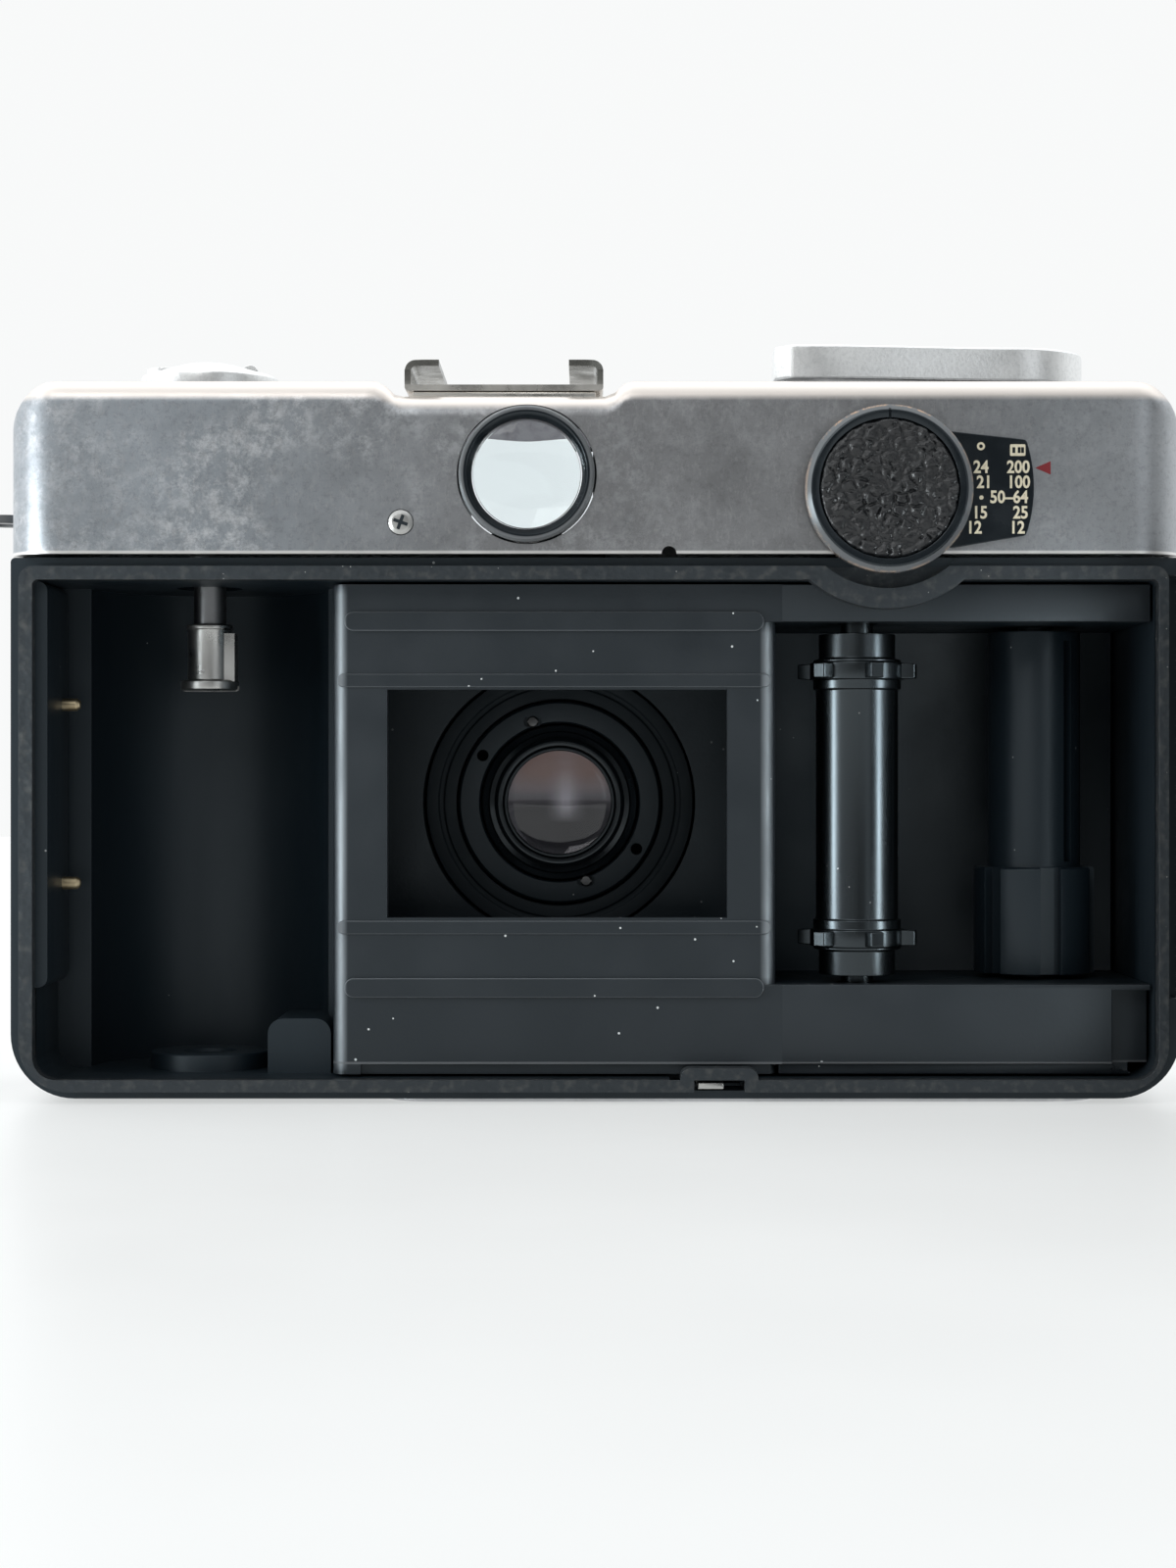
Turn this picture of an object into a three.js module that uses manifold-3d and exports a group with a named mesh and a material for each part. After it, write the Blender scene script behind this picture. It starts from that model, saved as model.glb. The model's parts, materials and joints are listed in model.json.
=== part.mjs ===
// A 35 mm viewfinder camera with its back open, as separate pieces placed for their real joints.
// Millimetres. +X is right and +Z is up as seen from behind, and the lens points along +Y.
// The origin is the centre of the bottom cover's underside.

import * as THREE from "three";
import { mergeVertices } from "three/addons/utils/BufferGeometryUtils.js";
import Module from "manifold-3d";

const wasm = await Module();
wasm.setup();

// ---- Driving dimensions ---------------------------------------------------------------------

// 135 film: its frame, the spacing of its two rows of holes, and their pitch
const GATE_WIDTH = 35.6;
const GATE_HEIGHT = 23.9;
const SPROCKET_ROWS = 28.2;
const SPROCKET_TEETH = 6;
const HOLE_PITCH = 4.75;

// Body casting
const HALF_WIDTH = 60.6;
const BODY_BOTTOM = 0.4;
const BODY_TOP = 56.8;
const BODY_FRONT = 16;
const BODY_CORNER = 6.7;
const FRONT_EDGE = 4;
const RIM_Y = -16.5;
const BAND_Y = -14.5;
const RIM_SIDE = 59.4;
const RIM_LOW = 1.25;
const RIM_HIGH = 55.8;
const RIM_CORNER = 5;
const CAVITY_SIDE = 58.4;
const CAVITY_LOW = 2.5;
const CAVITY_HIGH = 54.4;
const CAVITY_FRONT = 13;
const CAVITY_CORNER = 2.4;
const FLOOR_TOP = 3.87;
const SYNC_X = -49;
const SYNC_Z = 47;

// Clearance between neighbours
const GAP = 0.3;

// Film gate frame
const LENS_X = -4.02;
const LENS_Z = 31.14;
const GATE_Y = -13.2;
const GATE_LEFT = -27.6;
const GATE_RIGHT = 18.9;
const GATE_EDGE = 1.8;
const INNER_FRONT = CAVITY_FRONT - GAP;
const CHAMBER_LOW = 15.5;
const CHAMBER_HIGH = 46.8;
const BAFFLE_BACK = 6.6;
const BAFFLE_FRONT = 7.6;
const BAFFLE_R = 15.2;
const STEP_Y = GATE_Y + 0.5;
const INNER_RAIL = 1.42;
const INNER_RAIL_PROUD = 0.25;
const OUTER_RAIL = 2.04;
const OUTER_RAIL_PROUD = 0.45;
const RAIL_SINK = 0.4;

// Take-up side
const SPROCKET_X = 27.8;
const SPROCKET_Y = -8.5;
const SPOOL_X = 47.9;
const SPOOL_Y = 0;
const WELL_LOW = 12.2;
const WELL_HIGH = 50.2;
const SHAFT_HOLE_R = 2.2;
const SPROCKET_SHAFT_R = 4.3;
const TOOTH = 1.7;
const SPOOL_COLLAR_R = 6.5;
const SPOOL_COLLAR_TOP = 24.2;
const SPOOL_CORE_R = 5;
const SPINDLE_R = 1.7;
const FILM_SLOT = 1.5;
const FILM_SLOT_TURN = 37;

// Cassette side
const FORK_X = -41.9;
const FORK_Y = -1.5;
const FORK_LOW = 43.3;
const FORK_FLANGE_R = 3.1;
const SLEEVE_R = 2.45;
const SLEEVE_TOP = 50.6;
const CASSETTE_PIN_R = 0.68;
const CASSETTE_WELL_R = 12.9;
const WELL_RIGHT = GATE_LEFT - GAP;
const LIP_SIDE = -57.1;
const BEARING_R = 6.4;
const BEARING_TOP = 4.3;

// Top cover
const COVER_HALF = 60.9;
const COVER_Y = 16.6;
const COVER_LOW = 57.06;
const COVER_HIGH = 75.2;
const COVER_PLAN_R = 5.5;
const COVER_FILLET = 2.3;
const COVER_WALL = 1;
const SHOE_X = -9.6;
const SHOE_FLOOR = 73.6;
const SHOE_TOP = 77.6;
const SHOE_HALF = 10.4;
const SHOE_LIP = 3.6;
const SHOE_SHEET = 0.65;
const SHOE_BACK = -13.5;
const SHOE_FRONT = 4.5;
const LUG_Z = 61.9;

// Things on the top cover
const EYE_X = -7.15;
const EYE_Z = 65.3;
const EYE_RING_R = 7.05;
const EYE_GLASS_R = 5.6;
const DIAL_X = 30.2;
const DIAL_Z = 63.6;
const DIAL_R = 8.65;
const DIAL_DISC_R = 7;
const DIAL_RECESS_R = 10.1;
const DIAL_BOW_R = 12.2;
const KNOB_R = 7.5;
const KNOB_LOW = COVER_HIGH + 0.3;
const KNOB_HIGH = 78.6;
const KNOB_SHOULDER = 77.1;
const CRANK_AXIS_X = FORK_X + 4.6;
const CRANK_AXIS_Z = 77.6;
const LEVER_X = 45;
const LEVER_Y = 0;
const LEVER_LOW = COVER_HIGH + 0.9;
const LEVER_HIGH = 79.7;
const LEVER_HUB_R = 8;
const LEVER_TIP = 26;
const BUTTON_X = 19.5;
const BUTTON_Y = 9;
const COUNTER_X = 31;
const COUNTER_Y = 9.5;
const METER_X = 29;
const METER_HALF = 18;
const FINDER_HALF = 7.6;
const WINDOW_LOW = 59.3;
const WINDOW_HIGH = 71.4;

// Things on the bottom
const BUSH_X = 8;
const BUSH_R = 5.2;
const BUSH_HOLE_R = 3.2;
const BUSH_HIGH = 6.5;
const RELEASE_X = 36;
const RELEASE_Y = 5;
const COVER_PLATE = 0.7;

// Back door, its hinge axis and how far it stands open
const HINGE_X = 62.4;
const HINGE_Y = -15.8;
const KNUCKLE_R = 1.5;
const PIN_R = 0.6;
const PIN_HOLE_R = 0.9;
const DOOR_OPEN_DEG = 110;
const DOOR_LOW = 0.55;
const DOOR_HIGH = 56.6;
const DOOR_OUT = -20.3;
const DOOR_PANEL = 1;
const DOOR_WALL = 0.4;
const DOOR_INSIDE = DOOR_OUT + DOOR_PANEL;
const PLATE_LOW = 15.6;
const PLATE_HIGH = 46.6;
const PLATE_BACK = GATE_Y - 1.9;

// Latch in the bottom rim
const LATCH_LEFT = 10.2;
const LATCH_RIGHT = 15.45;
const LATCH_LOW = 1.24;
const LATCH_HIGH = 2.5;
const LATCH_TAB_Y = -9.7;
const LATCH_TRAVEL = 2.5;

// Lens, its rings outwards from the body, and the shutter in it
const MOUNT_Y = BODY_FRONT + 0.1;
const BARREL_R = 19.2;
const RING_INNER = BARREL_R + GAP;
const FLANGE_R = 24;
const FOCUS_R = 23.4;
const APERTURE_R = 22.6;
const FILTER_R = 22.9;
const FRONT_GLASS_R = 9.3;
const REAR_GLASS_R = 6.1;
const SHUTTER_R = 15.1;
const SHUTTER_HOLE_R = 4.9;
const BLADE_R = 5.3;
const BLADE_PIVOT = 11;

// Facets round a full turn
const COARSE = 12;
const MEDIUM = 18;
const FINE = 28;

// ---- Materials ------------------------------------------------------------------------------

function finish(color, roughness, metalness) {
  return new THREE.MeshStandardMaterial({ color, roughness, metalness });
}

const blackPlastic = () => finish(0x17171a, 0.6, 0);
const glossBlack = () => finish(0x0b0b0c, 0.2, 0);
const satinChrome = () => finish(0xb9b8b2, 0.35, 1);
const nickel = () => finish(0xa8a7a0, 0.3, 1);
const darkSteel = () => finish(0x3d4144, 0.4, 1);
const brass = () => finish(0xb59a62, 0.35, 1);
const glass = () => finish(0xcfe0e6, 0.05, 0);
const grain = () => finish(0x141416, 0.75, 0);

// ---- Solids ---------------------------------------------------------------------------------

// A closed three.js geometry as a manifold solid
function solid(geometry) {
  geometry.deleteAttribute("normal");
  geometry.deleteAttribute("uv");
  const merged = mergeVertices(geometry, 1e-4);
  const mesh = new wasm.Mesh({
    numProp: 3,
    vertProperties: new Float32Array(merged.attributes.position.array),
    triVerts: new Uint32Array(merged.index.array),
  });
  return new wasm.Manifold(mesh);
}

// A manifold solid as a named three.js mesh
function piece(name, shape, material) {
  const mesh = shape.getMesh();
  const geometry = new THREE.BufferGeometry();
  const positions = new Float32Array(mesh.vertProperties);
  geometry.setAttribute("position", new THREE.BufferAttribute(positions, 3));
  geometry.setIndex(new THREE.BufferAttribute(new Uint32Array(mesh.triVerts), 1));
  geometry.computeVertexNormals();
  const result = new THREE.Mesh(geometry, material);
  result.name = name;
  return result;
}

function join(first, ...others) {
  return others.reduce((whole, other) => whole.add(other), first);
}

function cut(first, ...others) {
  return others.reduce((whole, other) => whole.subtract(other), first);
}

function box(x0, x1, y0, y1, z0, z1) {
  const geometry = new THREE.BoxGeometry(x1 - x0, y1 - y0, z1 - z0);
  geometry.translate((x0 + x1) / 2, (y0 + y1) / 2, (z0 + z1) / 2);
  return solid(geometry);
}

// A rectangle whose low corners and high corners are rounded by their own radii
function roundedRect(x0, x1, y0, y1, lowR, highR = lowR) {
  const shape = new THREE.Shape();
  shape.moveTo(x0 + lowR, y0);
  shape.lineTo(x1 - lowR, y0);
  shape.absarc(x1 - lowR, y0 + lowR, lowR, -Math.PI / 2, 0, false);
  shape.lineTo(x1, y1 - highR);
  shape.absarc(x1 - highR, y1 - highR, highR, 0, Math.PI / 2, false);
  shape.lineTo(x0 + highR, y1);
  shape.absarc(x0 + highR, y1 - highR, highR, Math.PI / 2, Math.PI, false);
  shape.lineTo(x0, y0 + lowR);
  shape.absarc(x0 + lowR, y0 + lowR, lowR, Math.PI, Math.PI * 1.5, false);
  return shape;
}

// A shape drawn in X and Y, raised from z0 to z1
function raise(shape, z0, z1, curveSegments = 3) {
  const geometry = new THREE.ExtrudeGeometry(shape, { depth: z1 - z0, bevelEnabled: false, curveSegments });
  geometry.translate(0, 0, z0);
  return solid(geometry);
}

// A shape drawn in X and Z, run through from y0 to y1
function runThrough(shape, y0, y1, curveSegments = 3) {
  const geometry = new THREE.ExtrudeGeometry(shape, { depth: y1 - y0, bevelEnabled: false, curveSegments });
  geometry.rotateX(Math.PI / 2);
  geometry.translate(0, y1, 0);
  return solid(geometry);
}

// Round pieces: an upright one, one along Y, and one along X
function discZ(x, y, r, z0, z1, segments = COARSE) {
  const geometry = new THREE.CylinderGeometry(r, r, z1 - z0, segments);
  geometry.rotateX(Math.PI / 2);
  geometry.translate(x, y, (z0 + z1) / 2);
  return solid(geometry);
}

function discY(x, z, r, y0, y1, segments = COARSE) {
  const geometry = new THREE.CylinderGeometry(r, r, y1 - y0, segments);
  geometry.translate(x, (y0 + y1) / 2, z);
  return solid(geometry);
}

function discX(y, z, r, x0, x1, segments = COARSE) {
  const geometry = new THREE.CylinderGeometry(r, r, x1 - x0, segments);
  geometry.rotateZ(Math.PI / 2);
  geometry.translate((x0 + x1) / 2, y, z);
  return solid(geometry);
}

// A turned piece from [radius, height] pairs; it closes on the axis, or on itself when it is a ring
function turned(profile, segments) {
  const points = profile.map(([r, h]) => new THREE.Vector2(r, h));
  return new THREE.LatheGeometry(points, segments);
}

function turnedZ(x, y, profile, segments = MEDIUM) {
  const geometry = turned(profile, segments);
  geometry.rotateX(Math.PI / 2);
  geometry.translate(x, y, 0);
  return solid(geometry);
}

function turnedY(x, z, profile, segments = FINE) {
  const geometry = turned(profile, segments);
  geometry.translate(x, 0, z);
  return solid(geometry);
}

// A plain ring about an axis along Y
function ringY(x, z, inner, outer, y0, y1, segments = FINE) {
  return turnedY(x, z, [[inner, y0], [outer, y0], [outer, y1], [inner, y1], [inner, y0]], segments);
}

function ringZ(x, y, inner, outer, z0, z1, segments = MEDIUM) {
  return turnedZ(x, y, [[inner, z0], [outer, z0], [outer, z1], [inner, z1], [inner, z0]], segments);
}

// ---- Body -----------------------------------------------------------------------------------

function dialCut(r, y0, y1) {
  return discY(DIAL_X, DIAL_Z, r, y0, y1, FINE);
}

// Knuckle that holds one end of the hinge pin: a round end on a web from the body's side
function hingeKnuckle(z0, z1) {
  const root = HALF_WIDTH - 0.6;
  const shape = new THREE.Shape();
  shape.moveTo(root, BAND_Y + 0.2);
  shape.lineTo(HINGE_X - KNUCKLE_R, BAND_Y + 0.2);
  shape.lineTo(HINGE_X - KNUCKLE_R, HINGE_Y);
  shape.absarc(HINGE_X, HINGE_Y, KNUCKLE_R, Math.PI, Math.PI * 2, false);
  shape.lineTo(root, HINGE_Y + 5);
  return cut(raise(shape, z0, z1, 8), discZ(HINGE_X, HINGE_Y, PIN_HOLE_R, z0 - 1, z1 + 1));
}

// The slot that the latch's thumb tab comes through
function latchTabSlot(z0, z1) {
  return box(LATCH_LEFT - LATCH_TRAVEL + 0.3, LATCH_RIGHT, LATCH_TAB_Y, LATCH_TAB_Y + 2.7, z0, z1);
}

// The tray that everything is built into: walls, light-trap rim, chamber floor and front wall
function bodyCasting() {
  const plan = new THREE.Shape();
  plan.moveTo(-HALF_WIDTH, BAND_Y);
  plan.lineTo(HALF_WIDTH, BAND_Y);
  plan.lineTo(HALF_WIDTH, BODY_FRONT - FRONT_EDGE);
  plan.absarc(HALF_WIDTH - FRONT_EDGE, BODY_FRONT - FRONT_EDGE, FRONT_EDGE, 0, Math.PI / 2, false);
  plan.absarc(FRONT_EDGE - HALF_WIDTH, BODY_FRONT - FRONT_EDGE, FRONT_EDGE, Math.PI / 2, Math.PI, false);
  const outline = roundedRect(-HALF_WIDTH, HALF_WIDTH, BODY_BOTTOM, BODY_TOP, BODY_CORNER, 0.5);
  const block = runThrough(outline, BAND_Y, BODY_FRONT, 6).intersect(raise(plan, BODY_BOTTOM, BODY_TOP));

  const rimOutline = roundedRect(-RIM_SIDE - 0.4, RIM_SIDE, RIM_LOW, RIM_HIGH, RIM_CORNER, 1.5);
  const rim = cut(runThrough(rimOutline, RIM_Y, BAND_Y + 1), dialCut(DIAL_RECESS_R, RIM_Y - 1, BAND_Y));
  const cavityOutline = roundedRect(-CAVITY_SIDE, CAVITY_SIDE, CAVITY_LOW, CAVITY_HIGH, CAVITY_CORNER, 0.4);
  const cavity = runThrough(cavityOutline, RIM_Y - 1, CAVITY_FRONT);
  const bowFront = GATE_Y - 0.6;
  const underDial = box(DIAL_X - 13, DIAL_X + 13, RIM_Y, bowFront, DIAL_Z - 13, CAVITY_HIGH);
  const bowDisc = dialCut(DIAL_BOW_R, RIM_Y, bowFront).intersect(underDial);
  const bow = cut(bowDisc, dialCut(DIAL_RECESS_R, RIM_Y - 1, BAND_Y));

  const forkBearing = discZ(FORK_X, FORK_Y, BEARING_R, CAVITY_LOW - 0.5, BEARING_TOP, MEDIUM);
  const cassetteStop = box(-34.8, WELL_RIGHT - 0.2, -9, 3, CAVITY_LOW - 0.5, 8);
  const wellBlock = box(
    -CAVITY_SIDE - 0.5, WELL_RIGHT, FORK_Y, CAVITY_FRONT + 0.5, CAVITY_LOW - 0.5, CAVITY_HIGH + 0.5,
  );
  const well = cut(wellBlock, discZ(FORK_X, FORK_Y, CASSETTE_WELL_R, 0, 60, FINE));
  const lip = box(-CAVITY_SIDE - 0.5, LIP_SIDE, BAND_Y - 0.5, -3, WELL_LOW, CAVITY_HIGH + 0.5);
  const latchArch = runThrough(roundedRect(8.8, 16.85, 1.4, 3.7, 0.1, 0.85), RIM_Y, -13.6);
  const latchSlot = join(
    box(LATCH_LEFT, LATCH_RIGHT, RIM_Y - 1, -6, LATCH_LOW, LATCH_HIGH),
    box(LATCH_LEFT - LATCH_TRAVEL, LATCH_RIGHT, RIM_Y + 0.4, -6, LATCH_LOW, LATCH_HIGH),
    latchTabSlot(-1, LATCH_HIGH - 0.5),
  );
  const hingeRecess = box(RIM_SIDE, HALF_WIDTH + 1, BAND_Y - 1, -12.4, 10.8, 55);
  const lensHole = discY(LENS_X, LENS_Z, BARREL_R + 0.6, CAVITY_FRONT - 1, BODY_FRONT + 1, FINE);
  const forkHole = discZ(FORK_X, FORK_Y, 3.6, CAVITY_HIGH - 1, BODY_TOP + 1);
  const sprocketHole = discZ(SPROCKET_X, SPROCKET_Y, 2.6, CAVITY_HIGH - 1, BODY_TOP + 1);
  const bushHole = discZ(BUSH_X, 0, BUSH_R + GAP, BODY_BOTTOM - 1, CAVITY_LOW + 0.5, MEDIUM);
  const releaseHole = discZ(RELEASE_X, RELEASE_Y, 2.3, BODY_BOTTOM - 1, CAVITY_LOW + 1);

  const shell = join(cut(join(block, rim), cavity), bow, well, lip, forkBearing, cassetteStop, latchArch);
  const platePocket = raise(bottomOutline(GAP), BODY_BOTTOM - 1, COVER_PLATE + 0.2);
  const drilled = cut(
    shell, platePocket, latchSlot, hingeRecess, lensHole, forkHole, sprocketHole, bushHole, releaseHole,
  );
  return join(drilled, hingeKnuckle(7.6, 10), hingeKnuckle(55.2, BODY_TOP));
}

// The block round the light chamber: its rear face is the film track, with two pairs of rails.
// A baffle closes the chamber's front round the lens.
function filmGateFrame() {
  const plan = new THREE.Shape();
  plan.moveTo(GATE_LEFT, INNER_FRONT);
  plan.lineTo(GATE_LEFT, GATE_Y + GATE_EDGE);
  plan.absarc(GATE_LEFT + GATE_EDGE, GATE_Y + GATE_EDGE, GATE_EDGE, Math.PI, Math.PI * 1.5, false);
  plan.absarc(GATE_RIGHT - GATE_EDGE, GATE_Y + GATE_EDGE, GATE_EDGE, Math.PI * 1.5, Math.PI * 2, false);
  plan.lineTo(GATE_RIGHT, INNER_FRONT);
  const block = raise(plan, CAVITY_LOW + GAP, CAVITY_HIGH - GAP);
  const bottomStep = box(GATE_LEFT + 3, GATE_RIGHT + 1, GATE_Y - 1, STEP_Y, 0, FLOOR_TOP);

  const rail = (z, height, inset, proud) =>
    runThrough(
      roundedRect(GATE_LEFT + inset, GATE_RIGHT - inset, z - height / 2, z + height / 2, height / 2.2),
      GATE_Y - proud,
      GATE_Y + RAIL_SINK,
    );
  const rails = [
    rail(LENS_Z + 12.9, INNER_RAIL, 0.5, INNER_RAIL_PROUD),
    rail(LENS_Z - 12.96, INNER_RAIL, 0.5, INNER_RAIL_PROUD),
    rail(LENS_Z + 19.09, OUTER_RAIL, 1.3, OUTER_RAIL_PROUD),
    rail(LENS_Z - 19.27, OUTER_RAIL, 1.3, OUTER_RAIL_PROUD),
  ];

  const halfW = GATE_WIDTH / 2;
  const halfH = GATE_HEIGHT / 2;
  const gate = box(LENS_X - halfW, LENS_X + halfW, GATE_Y - 1, GATE_Y + 3, LENS_Z - halfH, LENS_Z + halfH);
  const chamber = box(
    GATE_LEFT + 3, GATE_RIGHT - 3, GATE_Y + 1.6, BAFFLE_BACK, CHAMBER_LOW, CHAMBER_HIGH,
  );
  const baffleHole = discY(LENS_X, LENS_Z, BAFFLE_R, BAFFLE_BACK - 1, BAFFLE_FRONT + 1, FINE);
  const barrelHole = discY(LENS_X, LENS_Z, 18.6, BAFFLE_FRONT, INNER_FRONT + 1, FINE);
  const bushHole = discZ(BUSH_X, 0, BUSH_R + GAP, 0, BUSH_HIGH + GAP, MEDIUM);
  return cut(join(block, ...rails), bottomStep, gate, chamber, baffleHole, barrelHole, bushHole);
}

// The frame round the sprocket and spool, with a blind hole for each end of both shafts
function takeupChamberFrame() {
  const left = GATE_RIGHT + GAP;
  const right = CAVITY_SIDE - GAP;
  const upper = box(left, right, GATE_Y, INNER_FRONT, WELL_HIGH, CAVITY_HIGH - GAP);
  const lower = box(left, right, GATE_Y, INNER_FRONT, CAVITY_LOW + 3.8, WELL_LOW);
  const foot = box(left, right, GATE_Y, INNER_FRONT, FLOOR_TOP, CAVITY_LOW + 3.9);
  const sill = box(left, right - 2, STEP_Y, INNER_FRONT, CAVITY_LOW + GAP, FLOOR_TOP + 0.1);
  const wall = box(left, right, 9.6, INNER_FRONT, FLOOR_TOP, CAVITY_HIGH - GAP);
  const hingeStep = box(54.1, right + 1, GATE_Y - 1, GATE_Y + 2, 3, WELL_LOW - 0.6);
  const shaftHoles = [
    discZ(SPROCKET_X, SPROCKET_Y, SHAFT_HOLE_R, WELL_HIGH - 1, CAVITY_HIGH),
    discZ(SPROCKET_X, SPROCKET_Y, SHAFT_HOLE_R, WELL_LOW - 3, WELL_LOW + 1),
    discZ(SPOOL_X, SPOOL_Y, SHAFT_HOLE_R, WELL_HIGH - 1, WELL_HIGH + 2.6),
    discZ(SPOOL_X, SPOOL_Y, SHAFT_HOLE_R, WELL_LOW - 3, WELL_LOW + 1),
  ];
  const releaseSpace = discZ(RELEASE_X, RELEASE_Y, 2.3, 0, CAVITY_LOW + 3);
  const corner = dialCut(13, GATE_Y - 1, GATE_Y).intersect(box(left, right, GATE_Y - 1, GATE_Y, 40, 60));
  return cut(join(upper, lower, foot, sill, wall), hingeStep, corner, releaseSpace, ...shaftHoles);
}

function bottomOutline(grow) {
  return roundedRect(-22.3 - grow, 52.7 + grow, -14 - grow, 13.5 + grow, 5 + grow);
}

function bottomCover() {
  const plate = raise(bottomOutline(0), 0, COVER_PLATE);
  return cut(
    plate,
    discZ(BUSH_X, 0, BUSH_R + GAP, -1, 1, MEDIUM),
    discZ(RELEASE_X, RELEASE_Y, 2.3, -1, 1),
    latchTabSlot(-1, 1),
  );
}

function tripodBush() {
  return ringZ(BUSH_X, 0, BUSH_HOLE_R, BUSH_R, 0, BUSH_HIGH);
}

// Thin covering on the front of the casting, open round the lens
function frontLeatherette() {
  const sheet = runThrough(roundedRect(-56.4, 56.4, 1.6, 56, 4.6, 0.5), BODY_FRONT + 0.1, BODY_FRONT + 0.7);
  return cut(
    sheet,
    discY(LENS_X, LENS_Z, FLANGE_R + 0.4, BODY_FRONT - 1, BODY_FRONT + 2, FINE),
    discY(SYNC_X, SYNC_Z, 3.6, BODY_FRONT - 1, BODY_FRONT + 2),
  );
}

// A strap lug: a round post on the end of the top cover, with a flat eye
function strapLug(side) {
  const post = discX(0, LUG_Z, 1.9, COVER_HALF + 0.1, COVER_HALF + 1.7);
  const eye = discZ(COVER_HALF + 3.4, 0, 3, LUG_Z - 0.45, LUG_Z + 0.45, MEDIUM);
  const lug = cut(join(post, eye), discZ(COVER_HALF + 3.8, 0, 1.6, LUG_Z - 2, LUG_Z + 2));
  return side > 0 ? lug : lug.mirror([1, 0, 0]);
}

function syncSocket() {
  const y = BODY_FRONT + 0.1;
  const profile = [[0, y], [3.2, y], [3.2, y + 2.2], [2.2, y + 2.6], [2.2, y + 1], [0, y + 1]];
  return turnedY(SYNC_X, SYNC_Z, profile, MEDIUM);
}

// ---- Top cover ------------------------------------------------------------------------------

// A block with rounded upright edges and a rounded top edge
function coverBlock(inset, z0, z1, fillet) {
  const x = COVER_HALF - inset - fillet;
  const y = COVER_Y - inset - fillet;
  const shape = roundedRect(-x, x, -y, y, COVER_PLAN_R - inset - fillet);
  const geometry = new THREE.ExtrudeGeometry(shape, {
    depth: z1 - z0 - fillet,
    bevelEnabled: true,
    bevelThickness: fillet,
    bevelSize: fillet,
    bevelSegments: 2,
    curveSegments: 3,
  });
  geometry.translate(0, 0, z0);
  return cut(solid(geometry), box(-70, 70, -20, 20, z0 - fillet - 1, z0));
}

// The dip that the accessory shoe sits in, with sloped ends, through from back to front
function shoeDip(drop) {
  const top = COVER_HIGH + 1 - drop;
  const floor = SHOE_FLOOR - drop;
  const flat = 10.9;
  const slope = 1.2;
  const shape = new THREE.Shape();
  shape.moveTo(SHOE_X - flat - slope * 1.6, top);
  shape.lineTo(SHOE_X - flat, floor);
  shape.lineTo(SHOE_X + flat, floor);
  shape.lineTo(SHOE_X + flat + slope * 1.6, top);
  return runThrough(shape, -COVER_Y - 1, COVER_Y + 1);
}

function topCover() {
  const outer = coverBlock(0, COVER_LOW, COVER_HIGH, COVER_FILLET);
  const inner = coverBlock(COVER_WALL, COVER_LOW, COVER_HIGH - COVER_WALL, COVER_FILLET - 1);
  const below = box(-59, 59, -15, 15, COVER_LOW - 1, COVER_LOW + 1);
  const dip = shoeDip(0);
  const dipWall = shoeDip(COVER_WALL);
  const hollow = cut(join(inner, below), dipWall);
  const back = (x, z, r) => discY(x, z, r, -COVER_Y - 1, -COVER_Y + 3, MEDIUM);
  const top = (x, y, r) => discZ(x, y, r, COVER_HIGH - 3, COVER_HIGH + 1);
  const front = (x0, x1, z0, z1) => box(x0, x1, COVER_Y - 3, COVER_Y + 1, z0, z1);
  return cut(
    outer,
    hollow,
    dip,
    back(EYE_X, EYE_Z, EYE_RING_R + 0.25),
    back(DIAL_X, DIAL_Z, 2.4),
    back(-20.2, 60.3, 0.8),
    back(7.6, COVER_LOW, 0.75),
    top(FORK_X, FORK_Y, 2.6),
    top(LEVER_X, LEVER_Y, 3.2),
    top(BUTTON_X, BUTTON_Y, 3),
    top(COUNTER_X, COUNTER_Y, 2.9),
    front(EYE_X - FINDER_HALF - 0.7, EYE_X + FINDER_HALF + 0.7, 58.6, 72),
    front(METER_X - METER_HALF - 1, METER_X + METER_HALF + 1, 60, 72),
  );
}

// The shoe's channel: a floor with both edges turned up and in
function accessoryShoe() {
  const z0 = SHOE_FLOOR + 0.75;
  const z1 = SHOE_TOP;
  const inner = SHOE_HALF - SHOE_SHEET;
  const mouthHalf = SHOE_HALF - SHOE_LIP;
  const outline = roundedRect(SHOE_X - SHOE_HALF, SHOE_X + SHOE_HALF, z0, z1, 0.3, 1.1);
  const insideOutline = roundedRect(
    SHOE_X - inner, SHOE_X + inner, z0 + SHOE_SHEET, z1 - SHOE_SHEET, 0.1, 0.5,
  );
  const channel = runThrough(outline, SHOE_BACK, SHOE_FRONT);
  const inside = runThrough(insideOutline, SHOE_BACK - 0.5, SHOE_FRONT + 0.5);
  const mouth = box(
    SHOE_X - mouthHalf, SHOE_X + mouthHalf, SHOE_BACK - 0.5, SHOE_FRONT + 0.5, z0 + SHOE_SHEET, z1 + 1,
  );
  const stop = box(SHOE_X - 4, SHOE_X + 4, SHOE_FRONT - 0.7, SHOE_FRONT, z0 + 0.2, z0 + 2);
  return join(cut(channel, inside, mouth), stop);
}

function shoeSeatPlate() {
  const half = SHOE_HALF - 0.8;
  return box(
    SHOE_X - half, SHOE_X + half, SHOE_BACK + GAP, SHOE_FRONT - GAP, SHOE_FLOOR + 0.05, SHOE_FLOOR + 0.7,
  );
}

// ---- Viewfinder and light meter -------------------------------------------------------------

function eyepieceRing() {
  const y = -COVER_Y;
  const inner = EYE_GLASS_R + 0.15;
  const outer = EYE_RING_R;
  const profile = [
    [inner, y - 0.3], [6.3, y - 0.9], [6.8, y - 0.9], [outer, y - 0.6], [outer, y + 2], [inner, y + 2],
  ];
  return turnedY(EYE_X, EYE_Z, [...profile, profile[0]]);
}

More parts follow.
